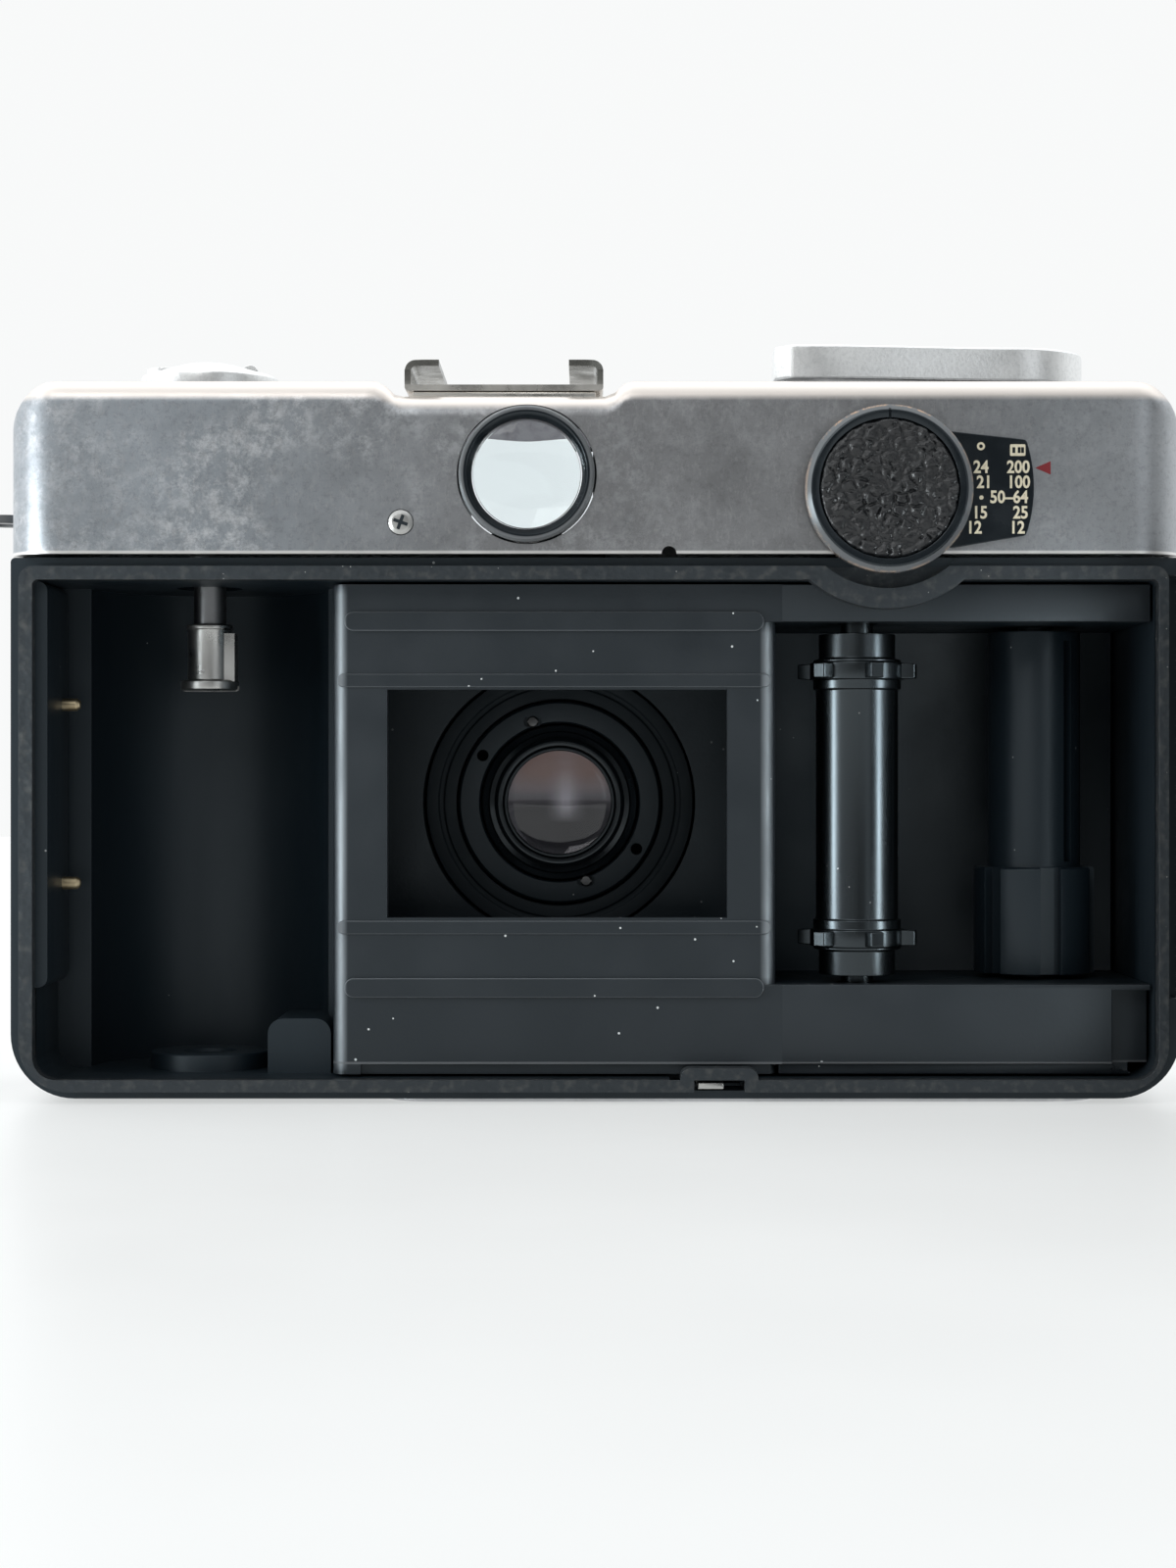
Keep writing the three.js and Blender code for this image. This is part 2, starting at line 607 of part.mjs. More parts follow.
function eyepieceLens() {
  return discY(EYE_X, EYE_Z, EYE_GLASS_R, -COVER_Y + 0.3, -COVER_Y + 1.7, MEDIUM);
}

function viewfinderHousing() {
  const half = FINDER_HALF + GAP;
  const outer = box(EYE_X - half, EYE_X + half, -14.2, 13.6, 58.3, 72.3);
  return cut(outer, box(EYE_X - half + 1, EYE_X + half - 1, -15, 15, WINDOW_LOW, WINDOW_HIGH));
}

function viewfinderFrontLens() {
  const half = FINDER_HALF - 0.2;
  return box(EYE_X - half, EYE_X + half, COVER_Y - 1.9, COVER_Y - 0.7, WINDOW_LOW + 0.1, WINDOW_HIGH - 0.2);
}

// The frame round the front windows, standing a little proud of the cover
function frontWindowBezel() {
  const outline = roundedRect(EYE_X - FINDER_HALF - 2, METER_X + METER_HALF + 2.3, 58.2, 73, 1.2);
  const opening = (x, half, z0) => box(x - half, x + half, COVER_Y - 1, COVER_Y + 2, z0, WINDOW_HIGH);
  return cut(
    runThrough(outline, COVER_Y + 0.1, COVER_Y + 1.1),
    opening(EYE_X, FINDER_HALF, WINDOW_LOW),
    opening(METER_X, METER_HALF, WINDOW_LOW + 1.3),
  );
}

function meterWindow() {
  const half = METER_HALF + 0.6;
  return box(METER_X - half, METER_X + half, COVER_Y - 1.2, COVER_Y - 0.2, WINDOW_LOW + 1, WINDOW_HIGH + 0.3);
}

function meterCell() {
  const half = METER_HALF - 0.5;
  const y = COVER_Y - 3.2;
  return box(METER_X - half, METER_X + half, y, y + 1.6, WINDOW_LOW + 1.5, WINDOW_HIGH - 0.2);
}

// ---- Film-speed dial ------------------------------------------------------------------------

function filmSpeedDial() {
  const y = -COVER_Y;
  const profile = [
    [0, y - 1.9], [7.2, y - 1.9], [7.35, y - 2.7], [7.9, y - 2.7], [DIAL_R, y - 2.1], [DIAL_R, y - 0.8],
    [6, y - 0.8], [6, y - 0.15], [2.1, y - 0.15], [2.1, y + 3.4], [0, y + 3.4],
  ];
  return turnedY(DIAL_X, DIAL_Z, profile);
}

function filmSpeedDisc() {
  const y = -COVER_Y;
  return discY(DIAL_X, DIAL_Z, DIAL_DISC_R, y - 2.5, y - 2, FINE);
}

// The index plate that turns with the dial and carries the film speeds
function filmSpeedPlate() {
  const root = DIAL_X + 6.15;
  const end = DIAL_X + 14.3;
  const shape = new THREE.Shape();
  shape.moveTo(root, DIAL_Z + 6.1);
  shape.lineTo(end, DIAL_Z + 5.2);
  shape.quadraticCurveTo(end + 1.6, DIAL_Z + 0.3, end, DIAL_Z - 4.7);
  shape.lineTo(root, DIAL_Z - 6.1);
  const plate = runThrough(shape, -COVER_Y - 0.62, -COVER_Y - 0.12);
  return cut(plate, discY(DIAL_X, DIAL_Z, 6.3, -COVER_Y - 1, -COVER_Y, FINE));
}

// ---- Rewind ---------------------------------------------------------------------------------

// The knob has a low domed top, open along one radius, where the crank lies when it is folded
function rewindKnob() {
  const r = KNOB_R;
  const profile = [
    [0, KNOB_LOW], [r, KNOB_LOW], [r, KNOB_SHOULDER], [3, KNOB_HIGH], [0, KNOB_HIGH],
  ];
  const bedFloor = KNOB_HIGH - 2;
  const bed = box(FORK_X - r - 1, CRANK_AXIS_X + 1.9, FORK_Y - 2.5, FORK_Y + 2.5, bedFloor, KNOB_HIGH + 1);
  return cut(turnedZ(FORK_X, FORK_Y, profile), bed);
}

function rewindCrank() {
  const arm = box(
    FORK_X - 6.8, CRANK_AXIS_X + 0.5, FORK_Y - 2.1, FORK_Y + 2.1, CRANK_AXIS_Z - 0.6, CRANK_AXIS_Z + 0.6,
  );
  const barrel = solid(new THREE.CylinderGeometry(0.85, 0.85, 4.2, COARSE)
    .translate(CRANK_AXIS_X, FORK_Y, CRANK_AXIS_Z));
  return cut(join(arm, barrel), box(FORK_X - 3.6, FORK_X + 1.4, FORK_Y - 0.9, FORK_Y + 0.9, 70, 80));
}

// Shaft and sleeve in one, from the knob down into the cassette chamber
function rewindShaft() {
  const profile = [
    [0, 45.3], [1.2, 45.3], [1.2, 50.3], [1.55, 50.9], [1.55, 57.2], [2.2, 57.2], [2.2, KNOB_LOW - 0.3],
    [0, KNOB_LOW - 0.3],
  ];
  return turnedZ(FORK_X, FORK_Y, profile, COARSE);
}

// The sleeve with a flat on one side and the fork's flange below, which turns the cassette's spool
function rewindFork() {
  const profile = [
    [0, FORK_LOW], [FORK_FLANGE_R, FORK_LOW], [FORK_FLANGE_R, FORK_LOW + 1.3], [SLEEVE_R, FORK_LOW + 1.3],
    [SLEEVE_R, SLEEVE_TOP], [1.5, SLEEVE_TOP], [1.5, FORK_LOW + 1.4], [0, FORK_LOW + 1.4],
  ];
  const body = turnedZ(FORK_X, FORK_Y, profile, COARSE);
  return cut(body, box(FORK_X + 2, FORK_X + 4, FORK_Y - 4, FORK_Y + 4, 44.9, 50));
}

// The collar on the shaft that its detent spring holds; it lifts with the shaft but doesn't turn
function rewindLiftCollar() {
  return ringZ(FORK_X, FORK_Y, 2.5, 4.2, 60, 62, COARSE);
}

// ---- Winding and release --------------------------------------------------------------------

// Blade with a round hub end; its tip has a facet at the back and stands a little above the cover
function windingLever() {
  const hubR = LEVER_HUB_R;
  const tip = LEVER_X - LEVER_TIP;
  const shape = new THREE.Shape();
  shape.moveTo(LEVER_X, LEVER_Y - hubR);
  shape.absarc(LEVER_X, LEVER_Y, hubR, -Math.PI / 2, Math.PI / 2, false);
  shape.bezierCurveTo(LEVER_X - 7, LEVER_Y + hubR, LEVER_X - 10, LEVER_Y - 1.6, LEVER_X - 16, LEVER_Y - 2.6);
  shape.lineTo(tip + 1, LEVER_Y - 3.4);
  shape.lineTo(tip, LEVER_Y - 4.4);
  shape.lineTo(tip, LEVER_Y - 8.2);
  shape.lineTo(tip + 1.6, LEVER_Y - 10.2);
  shape.bezierCurveTo(LEVER_X - 16, LEVER_Y - 10.6, LEVER_X - 8, LEVER_Y - hubR, LEVER_X, LEVER_Y - hubR);
  const blade = raise(shape, LEVER_LOW, LEVER_HIGH, 6);
  const under = box(tip - 1, tip + 14, -12, 1, LEVER_LOW - 1, LEVER_LOW + 0.6);
  const shaft = discZ(LEVER_X, LEVER_Y, 2.8, 70, LEVER_LOW + 0.5, MEDIUM);
  return join(cut(blade, under, discZ(LEVER_X, LEVER_Y, 5, LEVER_HIGH - 0.8, 90, MEDIUM)), shaft);
}

function leverCap() {
  const z = LEVER_HIGH - 0.7;
  const profile = [[0, z], [4.7, z], [4.7, z + 0.7], [3.8, z + 1.1], [0, z + 1.1]];
  const slot = box(LEVER_X - 2.6, LEVER_X + 2.6, LEVER_Y - 0.35, LEVER_Y + 0.35, z + 0.6, z + 2);
  return cut(turnedZ(LEVER_X, LEVER_Y, profile), slot);
}

function releaseCollar() {
  return ringZ(BUTTON_X, BUTTON_Y, 3.3, 4.9, COVER_HIGH + 0.05, COVER_HIGH + 1.2);
}

function releaseButton() {
  const top = 78;
  const profile = [
    [0, 68], [1.4, 68], [1.4, 73], [2.7, 73], [2.7, top - 0.5], [2.2, top], [0, top - 0.3],
  ];
  return turnedZ(BUTTON_X, BUTTON_Y, profile);
}

function counterDisc() {
  return join(
    discZ(COUNTER_X, COUNTER_Y, 5.8, 71.9, 72.7, MEDIUM),
    discZ(COUNTER_X, COUNTER_Y, 1, 69, 72, COARSE),
  );
}

function counterWindow() {
  return discZ(COUNTER_X, COUNTER_Y, 2.6, COVER_HIGH - 0.8, COVER_HIGH - 0.1, MEDIUM);
}

// Sprocket: a shaft with a collar and a toothed disc at each row of film holes
function filmSprocket() {
  const middle = LENS_Z - 0.1;
  const row = SPROCKET_ROWS / 2;
  const rootR = (SPROCKET_TEETH * HOLE_PITCH) / (2 * Math.PI);
  const half = [
    [SPROCKET_SHAFT_R, 0], [SPROCKET_SHAFT_R, row - 2.4], [rootR, row - 2.2], [rootR, row + 1.2],
    [3.8, row + 1.5], [3.8, row + 4], [SPINDLE_R, row + 4], [SPINDLE_R, row + 6.4], [0, row + 6.4],
  ];
  const low = half.slice(1).reverse().map(([r, h]) => [r, middle - h]);
  const high = half.slice(1).map(([r, h]) => [r, middle + h]);
  const shaft = turnedZ(SPROCKET_X, SPROCKET_Y, [...low, ...high]);
  const teeth = [];
  for (const z of [middle - row, middle + row]) {
    for (let i = 0; i < SPROCKET_TEETH; i += 1) {
      const tooth = new THREE.BoxGeometry(TOOTH + 1, TOOTH, TOOTH);
      tooth.translate(rootR + 0.55, 0, 0);
      tooth.rotateZ((i / SPROCKET_TEETH) * Math.PI * 2 - Math.PI / 12);
      tooth.translate(SPROCKET_X, SPROCKET_Y, z);
      teeth.push(solid(tooth));
    }
  }
  return join(shaft, ...teeth);
}

// Spool: a wide collar below, a slimmer core above with a slot for the film's end
function takeupSpool() {
  const profile = [
    [0, WELL_LOW - 2.2], [SPINDLE_R, WELL_LOW - 2.2], [SPINDLE_R, WELL_LOW + 0.5],
    [SPOOL_COLLAR_R, WELL_LOW + 0.5], [SPOOL_COLLAR_R, SPOOL_COLLAR_TOP], [SPOOL_CORE_R, SPOOL_COLLAR_TOP],
    [SPOOL_CORE_R, WELL_HIGH - 0.5], [SPINDLE_R, WELL_HIGH - 0.5], [SPINDLE_R, WELL_HIGH + 2.2],
    [0, WELL_HIGH + 2.2],
  ];
  const filmSlot = box(-FILM_SLOT / 2, FILM_SLOT / 2, -8, -2.4, SPOOL_COLLAR_TOP + 0.6, WELL_HIGH - 1)
    .rotate([0, 0, FILM_SLOT_TURN])
    .translate([SPOOL_X, SPOOL_Y, 0]);
  return cut(turnedZ(SPOOL_X, SPOOL_Y, profile), filmSlot);
}

function cassettePin(z) {
  return discX(-6, z, CASSETTE_PIN_R, LIP_SIDE + 0.1, LIP_SIDE + 1.95);
}

function latchSlider() {
  const left = LATCH_LEFT + 0.4;
  const right = LATCH_LEFT + 3.1;
  const finger = box(left, right, RIM_Y + 0.6, -6.4, LATCH_LOW + GAP, LATCH_HIGH - GAP);
  const tab = box(left + 0.5, right - 0.2, LATCH_TAB_Y + 0.4, LATCH_TAB_Y + 2.3, 0.15, LATCH_LOW + 0.4);
  return join(finger, tab);
}

function rewindReleaseButton() {
  return join(discZ(RELEASE_X, RELEASE_Y, 1.9, 0.15, 2.4), discZ(RELEASE_X, RELEASE_Y, 1.2, 2.3, 3));
}

// ---- Lens and shutter -----------------------------------------------------------------------

function lensFlange() {
  return ringY(LENS_X, LENS_Z, RING_INNER, FLANGE_R, MOUNT_Y, MOUNT_Y + 2.2);
}

// The fixed barrel: it passes through the casting's front wall and carries everything else
function lensBarrel() {
  const profile = [
    [15.4, 8], [18, 8], [18, CAVITY_FRONT], [BARREL_R, CAVITY_FRONT], [BARREL_R, 36], [15.4, 36], [15.4, 8],
  ];
  return turnedY(LENS_X, LENS_Z, profile);
}

function focusRing() {
  return ringY(LENS_X, LENS_Z, RING_INNER, FOCUS_R, MOUNT_Y + 2.5, MOUNT_Y + 9.5);
}

function apertureRing() {
  return ringY(LENS_X, LENS_Z, RING_INNER, APERTURE_R, MOUNT_Y + 9.8, MOUNT_Y + 15.2);
}

function filterRing() {
  const y = MOUNT_Y + 15.5;
  const profile = [
    [RING_INNER, y], [FILTER_R - 0.7, y], [FILTER_R, y + 0.6], [FILTER_R, y + 6.5], [FILTER_R - 1.5, y + 6.5],
    [20.6, y + 5], [20.6, y + 4.8], [RING_INNER, y + 4.8], [RING_INNER, y],
  ];
  return turnedY(LENS_X, LENS_Z, profile);
}

// Black cone between the barrel's front and the front glass
function frontCone() {
  const y = 36.2;
  const inner = FRONT_GLASS_R + GAP;
  const profile = [
    [inner, y - 5.2], [inner, y - 6.6], [10.4, y - 6.6], [15.2, y - 3], [15.2, y - 1.6], [inner, y - 5.2],
  ];
  return turnedY(LENS_X, LENS_Z, profile);
}

function frontElement() {
  const y = 29;
  const r = FRONT_GLASS_R;
  const profile = [[0, y], [r, y], [r, y + 1.6], [r * 0.7, y + 2.7], [r * 0.36, y + 3.3], [0, y + 3.5]];
  return turnedY(LENS_X, LENS_Z, profile);
}

// A flat drum with a hole through its middle; the blades swing in the space inside it
function shutterHousing() {
  const profile = [
    [SHUTTER_HOLE_R, 19.5], [SHUTTER_R, 19.5], [SHUTTER_R, 26], [SHUTTER_HOLE_R, 26], [SHUTTER_HOLE_R, 22.8],
    [14.7, 22.8], [14.7, 20.6], [SHUTTER_HOLE_R, 20.6], [SHUTTER_HOLE_R, 19.5],
  ];
  return turnedY(LENS_X, LENS_Z, profile, MEDIUM);
}

// One blade covers half of the opening and turns about a pin at its narrow end
function shutterBlade(side) {
  const r = BLADE_R;
  const shape = new THREE.Shape();
  shape.moveTo(-BLADE_PIVOT, -1);
  shape.lineTo(r, -0.2);
  shape.absarc(0, 0, r, 0, Math.PI * 0.6, false);
  shape.lineTo(-BLADE_PIVOT, 1.2);
  shape.absarc(-BLADE_PIVOT, 0.1, 1.1, Math.PI / 2, Math.PI * 1.5, false);
  const blade = runThrough(shape, 0, 0.4, 8);
  const turnedOver = side > 0 ? blade : blade.mirror([0, 0, 1]);
  return turnedOver.translate([LENS_X, side > 0 ? 21 : 21.9, LENS_Z]);
}

// The plate round the rear glass, as seen down the light chamber
function shutterBackPlate() {
  const profile = [[11.7, 12.4], [14.9, 12.4], [14.9, 13.8], [11.7, 13.8], [11.7, 12.4]];
  return turnedY(LENS_X, LENS_Z, profile);
}

// Threaded ring that holds the shutter in the body, with two holes for its key
function lensLockRing() {
  const ring = ringY(LENS_X, LENS_Z, 9, 11.4, 11.6, 13.4);
  const keyHole = (side) => discY(LENS_X + side * 8.7, LENS_Z - side * 5.3, 0.5, 11, 12.6);
  return cut(ring, keyHole(-1), keyHole(1));
}

function rearLensCell() {
  const profile = [
    [6.4, 10.2], [7.3, 10.2], [7.3, 11], [8.7, 11.6], [8.7, 18.5], [6.4, 18.5], [6.4, 10.2],
  ];
  return turnedY(LENS_X, LENS_Z, profile);
}

function rearElement() {
  const r = REAR_GLASS_R;
  const y = 10.6;
  const profile = [[0, y - 0.8], [r * 0.5, y - 0.6], [r, y + 0.3], [r, y + 3], [0, y + 3]];
  return turnedY(LENS_X, LENS_Z, profile);
}

// ---- Back door, drawn shut ------------------------------------------------------------------

// A pressed panel with a turned-in edge; it goes round the dial and hinges on a barrel at the right
function backDoor() {
  const edge = BAND_Y - 0.3;
  const w = DOOR_WALL;
  const r = 5.7;
  const outline = roundedRect(-HALF_WIDTH, HALF_WIDTH, DOOR_LOW, DOOR_HIGH, r, 0.8);
  const insideOutline = roundedRect(-HALF_WIDTH + w, HALF_WIDTH - w, DOOR_LOW + w, DOOR_HIGH - w, r - w, 0.4);
  const inside = cut(
    runThrough(insideOutline, DOOR_INSIDE, edge + 1, 6),
    dialCut(DIAL_RECESS_R - GAP, DOOR_OUT, edge + 1),
  );
  const dialNotch = dialCut(DIAL_RECESS_R - 0.9, DOOR_OUT - 1, edge + 1);
  const tray = cut(runThrough(outline, DOOR_OUT, edge, 6), inside, dialNotch);
  const barrel = discZ(HINGE_X, HINGE_Y, KNUCKLE_R, 11.2, 54.8);
  const web = box(HALF_WIDTH - w, HINGE_X, HINGE_Y - 1.4, HINGE_Y - 0.6, 11.2, 54.8);
  return cut(join(tray, barrel, web), discZ(HINGE_X, HINGE_Y, PIN_HOLE_R, 10, 56));
}

function doorLeatherette() {
  const outline = roundedRect(-57.6, 57.6, 3.6, 53.6, BODY_CORNER - 2, 1);
  const sheet = runThrough(outline, DOOR_OUT - 0.7, DOOR_OUT - 0.1);
  return cut(sheet, dialCut(12, DOOR_OUT - 2, DOOR_OUT + 1));
}

function doorTongue() {
  const x0 = 13.75;
  const y0 = DOOR_INSIDE + 0.05;
  return join(
    box(x0, LATCH_RIGHT - 0.3, y0, -13.4, 1.6, 2.15),
    box(x0 - 1.5, LATCH_RIGHT + 1.5, y0, y0 + 0.65, 1.6, 4.2),
  );
}

// The plate that holds the film flat against the inner rails
function pressurePlate() {
  const left = -25;
  const right = 16.4;
  const flange = 0.8;
  const y = PLATE_BACK;
  const plate = runThrough(roundedRect(left, right, PLATE_LOW, PLATE_HIGH, 1.5), y, y + 1.2);
  const turnedEdge = (x0) => box(x0, x0 + flange, y - 0.4, y + 1, PLATE_LOW + 2, PLATE_HIGH - 2);
  return join(plate, turnedEdge(left), turnedEdge(right - flange));
}

// Two bowed leaves from a riveted middle, which push the plate away from the door
function plateSpring() {
  const x0 = -20;
  const x1 = 12;
  const back = DOOR_INSIDE + 0.1;
  const strip = (z0, z1) => {
    const shape = new THREE.Shape();
    shape.moveTo(x0, back + 1.7);
    shape.quadraticCurveTo((x0 + x1) / 2, back - 1.1, x1, back + 1.7);
    shape.lineTo(x1, back + 1.95);
    shape.quadraticCurveTo((x0 + x1) / 2, back - 0.8, x0, back + 1.95);
    return raise(shape, z0, z1, 8);
  };
  return join(strip(22, 26), strip(36, 40), box(-7, -1, back + 0.3, back + 0.6, 22, 40));
}

function filmRoller() {
  const x = 24.8;
  const y = DOOR_INSIDE + 1.9;
  const profile = [
    [0, 12.3], [0.6, 12.3], [0.6, 14], [1.5, 14], [1.5, 20], [1.2, 20.4], [1.2, 42], [1.5, 42.4], [1.5, 48.4],
    [0.6, 48.4], [0.6, 49], [0, 49],
  ];
  return turnedZ(x, y, profile, COARSE);
}

// ---- Assembly -------------------------------------------------------------------------------

const camera = new THREE.Group();

const structure = [
  piece("body_casting", bodyCasting(), blackPlastic()),
  piece("film_gate_frame", filmGateFrame(), blackPlastic()),
  piece("takeup_chamber_frame", takeupChamberFrame(), blackPlastic()),
  piece("top_cover", topCover(), satinChrome()),
  piece("bottom_cover", bottomCover(), satinChrome()),
  piece("tripod_bush", tripodBush(), nickel()),
  piece("front_leatherette", frontLeatherette(), grain()),
  piece("strap_lug_left", strapLug(-1), darkSteel()),
  piece("strap_lug_right", strapLug(1), darkSteel()),
  piece("sync_socket", syncSocket(), nickel()),
  piece("accessory_shoe", accessoryShoe(), nickel()),
  piece("shoe_seat_plate", shoeSeatPlate(), nickel()),
  piece("hinge_pin", discZ(HINGE_X, HINGE_Y, PIN_R, 7.8, BODY_TOP - 0.1), darkSteel()),
];

const finder = [
  piece("eyepiece_ring", eyepieceRing(), glossBlack()),
  piece("eyepiece_lens", eyepieceLens(), glass()),
  piece("viewfinder_housing", viewfinderHousing(), blackPlastic()),
  piece("viewfinder_front_lens", viewfinderFrontLens(), glass()),
  piece("front_window_bezel", frontWindowBezel(), glossBlack()),
  piece("meter_window", meterWindow(), glass()),
  piece("meter_cell", meterCell(), darkSteel()),
];

const controls = [
  piece("film_speed_dial", filmSpeedDial(), glossBlack()),
  piece("film_speed_disc", filmSpeedDisc(), grain()),
  piece("film_speed_plate", filmSpeedPlate(), blackPlastic()),
  piece("winding_lever", windingLever(), satinChrome()),
  piece("lever_cap", leverCap(), nickel()),
  piece("release_collar", releaseCollar(), nickel()),
  piece("release_button", releaseButton(), satinChrome()),
  piece("counter_disc", counterDisc(), satinChrome()),
  piece("counter_window", counterWindow(), glass()),
  piece("latch_slider", latchSlider(), nickel()),
  piece("rewind_release_button", rewindReleaseButton(), nickel()),
];

const filmPath = [
  piece("rewind_knob", rewindKnob(), satinChrome()),
  piece("rewind_crank", rewindCrank(), satinChrome()),
  piece("rewind_shaft", rewindShaft(), nickel()),
  piece("rewind_fork", rewindFork(), nickel()),
  piece("rewind_lift_collar", rewindLiftCollar(), brass()),
  piece("film_sprocket", filmSprocket(), glossBlack()),
  piece("takeup_spool", takeupSpool(), blackPlastic()),
  piece("cassette_pin_upper", cassettePin(41.7), brass()),
  piece("cassette_pin_lower", cassettePin(22.6), brass()),
];

const lens = [
  piece("lens_flange", lensFlange(), satinChrome()),
  piece("lens_barrel", lensBarrel(), blackPlastic()),
  piece("focus_ring", focusRing(), glossBlack()),
  piece("aperture_ring", apertureRing(), satinChrome()),
  piece("filter_ring", filterRing(), satinChrome()),
  piece("front_cone", frontCone(), blackPlastic()),
  piece("front_element", frontElement(), glass()),
  piece("shutter_housing", shutterHousing(), blackPlastic()),
  piece("shutter_blade_upper", shutterBlade(1), darkSteel()),
  piece("shutter_blade_lower", shutterBlade(-1), darkSteel()),
  piece("shutter_back_plate", shutterBackPlate(), blackPlastic()),
  piece("lens_lock_ring", lensLockRing(), glossBlack()),
  piece("rear_lens_cell", rearLensCell(), glossBlack()),
  piece("rear_element", rearElement(), glass()),
];

const doorPieces = [
  piece("back_door", backDoor(), blackPlastic()),
  piece("door_leatherette", doorLeatherette(), grain()),
  piece("door_tongue", doorTongue(), darkSteel()),
  piece("pressure_plate", pressurePlate(), glossBlack()),
  piece("pressure_plate_spring", plateSpring(), nickel()),
  piece("film_roller", filmRoller(), nickel()),
];

// The door turns about its hinge, so it hangs in two nested groups
const door = new THREE.Group();
door.add(...doorPieces);
door.position.set(-HINGE_X, -HINGE_Y, 0);
const hinge = new THREE.Group();
hinge.add(door);
hinge.position.set(HINGE_X, HINGE_Y, 0);
hinge.rotation.z = THREE.MathUtils.degToRad(DOOR_OPEN_DEG);

camera.add(...structure, ...finder, ...controls, ...filmPath, ...lens, hinge);

export default camera;
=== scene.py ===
"""A 35 mm viewfinder camera with its back open, seen from behind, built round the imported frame.

The frame gives every place. Lengths here are in millimetres until a mesh is made, which is in metres.
"""

import json
import math

import bmesh
import bpy
from mathutils import Matrix, Vector, noise


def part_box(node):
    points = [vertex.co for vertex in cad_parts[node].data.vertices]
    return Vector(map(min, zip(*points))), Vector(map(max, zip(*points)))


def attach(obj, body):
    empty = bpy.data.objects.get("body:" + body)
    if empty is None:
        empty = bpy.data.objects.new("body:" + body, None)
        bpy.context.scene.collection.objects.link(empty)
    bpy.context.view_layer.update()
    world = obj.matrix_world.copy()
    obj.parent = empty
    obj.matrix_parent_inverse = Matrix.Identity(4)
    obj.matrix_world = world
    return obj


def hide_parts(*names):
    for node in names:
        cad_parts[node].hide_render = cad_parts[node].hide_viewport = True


MM = 0.001
QUARTER = math.pi / 2

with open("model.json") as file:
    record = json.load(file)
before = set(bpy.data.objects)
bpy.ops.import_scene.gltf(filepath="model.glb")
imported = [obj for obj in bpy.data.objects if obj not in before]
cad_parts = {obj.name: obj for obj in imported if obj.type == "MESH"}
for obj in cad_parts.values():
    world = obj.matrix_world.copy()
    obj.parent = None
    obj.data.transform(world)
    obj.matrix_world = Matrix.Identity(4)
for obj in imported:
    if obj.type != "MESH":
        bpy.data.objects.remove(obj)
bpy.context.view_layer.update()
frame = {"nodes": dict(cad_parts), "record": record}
node_body = {n: b for b, ns in frame["record"]["behaviour"]["bodies"].items() for n in ns}


def span(node):
    """Lowest and highest corner of a CAD node, in millimetres."""
    low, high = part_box(node)
    return low / MM, high / MM


# ---- Camera, light and floor -------------------------------------------------------------------

VIEW_DISTANCE = 316.5
VIEW_HEIGHT = 33.2
VIEW_X = -0.8
FOCAL = 66.5


def make_camera():
    data = bpy.data.cameras.new("camera")
    data.lens = FOCAL
    data.sensor_width = 36
    data.clip_start = 0.01
    camera = linked("camera", data)
    camera.location = Vector((VIEW_X, -VIEW_DISTANCE, VIEW_HEIGHT)) * MM
    camera.rotation_euler = (QUARTER, 0, 0)
    bpy.context.scene.camera = camera


def make_softbox(name, place, size, power, colour, aim=(0, 0, 35)):
    data = bpy.data.lights.new(name, "AREA")
    data.shape = "RECTANGLE"
    data.size, data.size_y = size[0] * MM, size[1] * MM
    data.energy = power
    data.color = colour
    light = linked(name, data)
    light.location = Vector(place) * MM
    light.rotation_euler = (Vector(aim) - Vector(place)).to_track_quat("-Z", "Y").to_euler()
    return light


def make_glint(name, place, size, power):
    """A narrow light, out of the picture, that draws upright highlights on the turned pieces."""
    light = make_softbox(name, place, size, power, (0.9, 0.97, 1), (24, -10, 32))
    light.data.spread = math.radians(70)
    light.visible_camera = False


def make_world():
    """White all round for the eye; as a light it is bright from above and behind, and dim from the front."""
    world = bpy.data.worlds.new("studio")
    bpy.context.scene.world = world
    world.use_nodes = True
    tree = world.node_tree
    tree.nodes.clear()
    direction = add_node(tree, "TexCoord").outputs["Generated"]
    split = add_node(tree, "SeparateXYZ", {0: direction})
    strength = 0.0
    backward, upward, leftward = ("Y", -0.75, 0.35, 0.15, 0.95), ("Z", 0.25, 0.95, 0, 0.75), ("X", 0.1, -0.9, 0, 0.3)
    for axis, start, end, low, high in (backward, upward, leftward):
        inputs = {"Value": split.outputs[axis], "From Min": start, "From Max": end}
        inputs |= {"To Min": low, "To Max": high}
        part = add_node(tree, "MapRange", inputs, interpolation_type="SMOOTHSTEP")
        strength = add_node(tree, "Math", {0: strength, 1: part.outputs[0]}).outputs[0]
    lit = add_node(tree, "Background", {"Color": (0.96, 0.985, 1, 1), "Strength": strength})
    seen = add_node(tree, "Background", {"Color": (0.94, 0.95, 0.95, 1)})
    by_eye = add_node(tree, "LightPath").outputs["Is Camera Ray"]
    choose = add_node(tree, "MixShader", {0: by_eye, 1: lit.outputs[0], 2: seen.outputs[0]})
    add_node(tree, "OutputWorld", {0: choose.outputs[0]})


def make_floor():
    half = 1.5 / MM
    corners = [(-half, -half, 0), (half, -half, 0), (half, half, 0), (-half, half, 0)]
    floor = new_object("floor", corners, [(0, 1, 2, 3)])
    kit = Kit("floor_white", (0.3, 0.3, 0.298), 0.42)
    kit.set("Specular IOR Level", 0.25)
    kit.set("Emission Color", (0.98, 1, 0.995, 1))
    kit.set("Emission Strength", 0.54)
    kit.roughness(kit.noise(18), 0.36, 0.5)
    floor.data.materials.append(kit.material)


# ---- Materials ---------------------------------------------------------------------------------


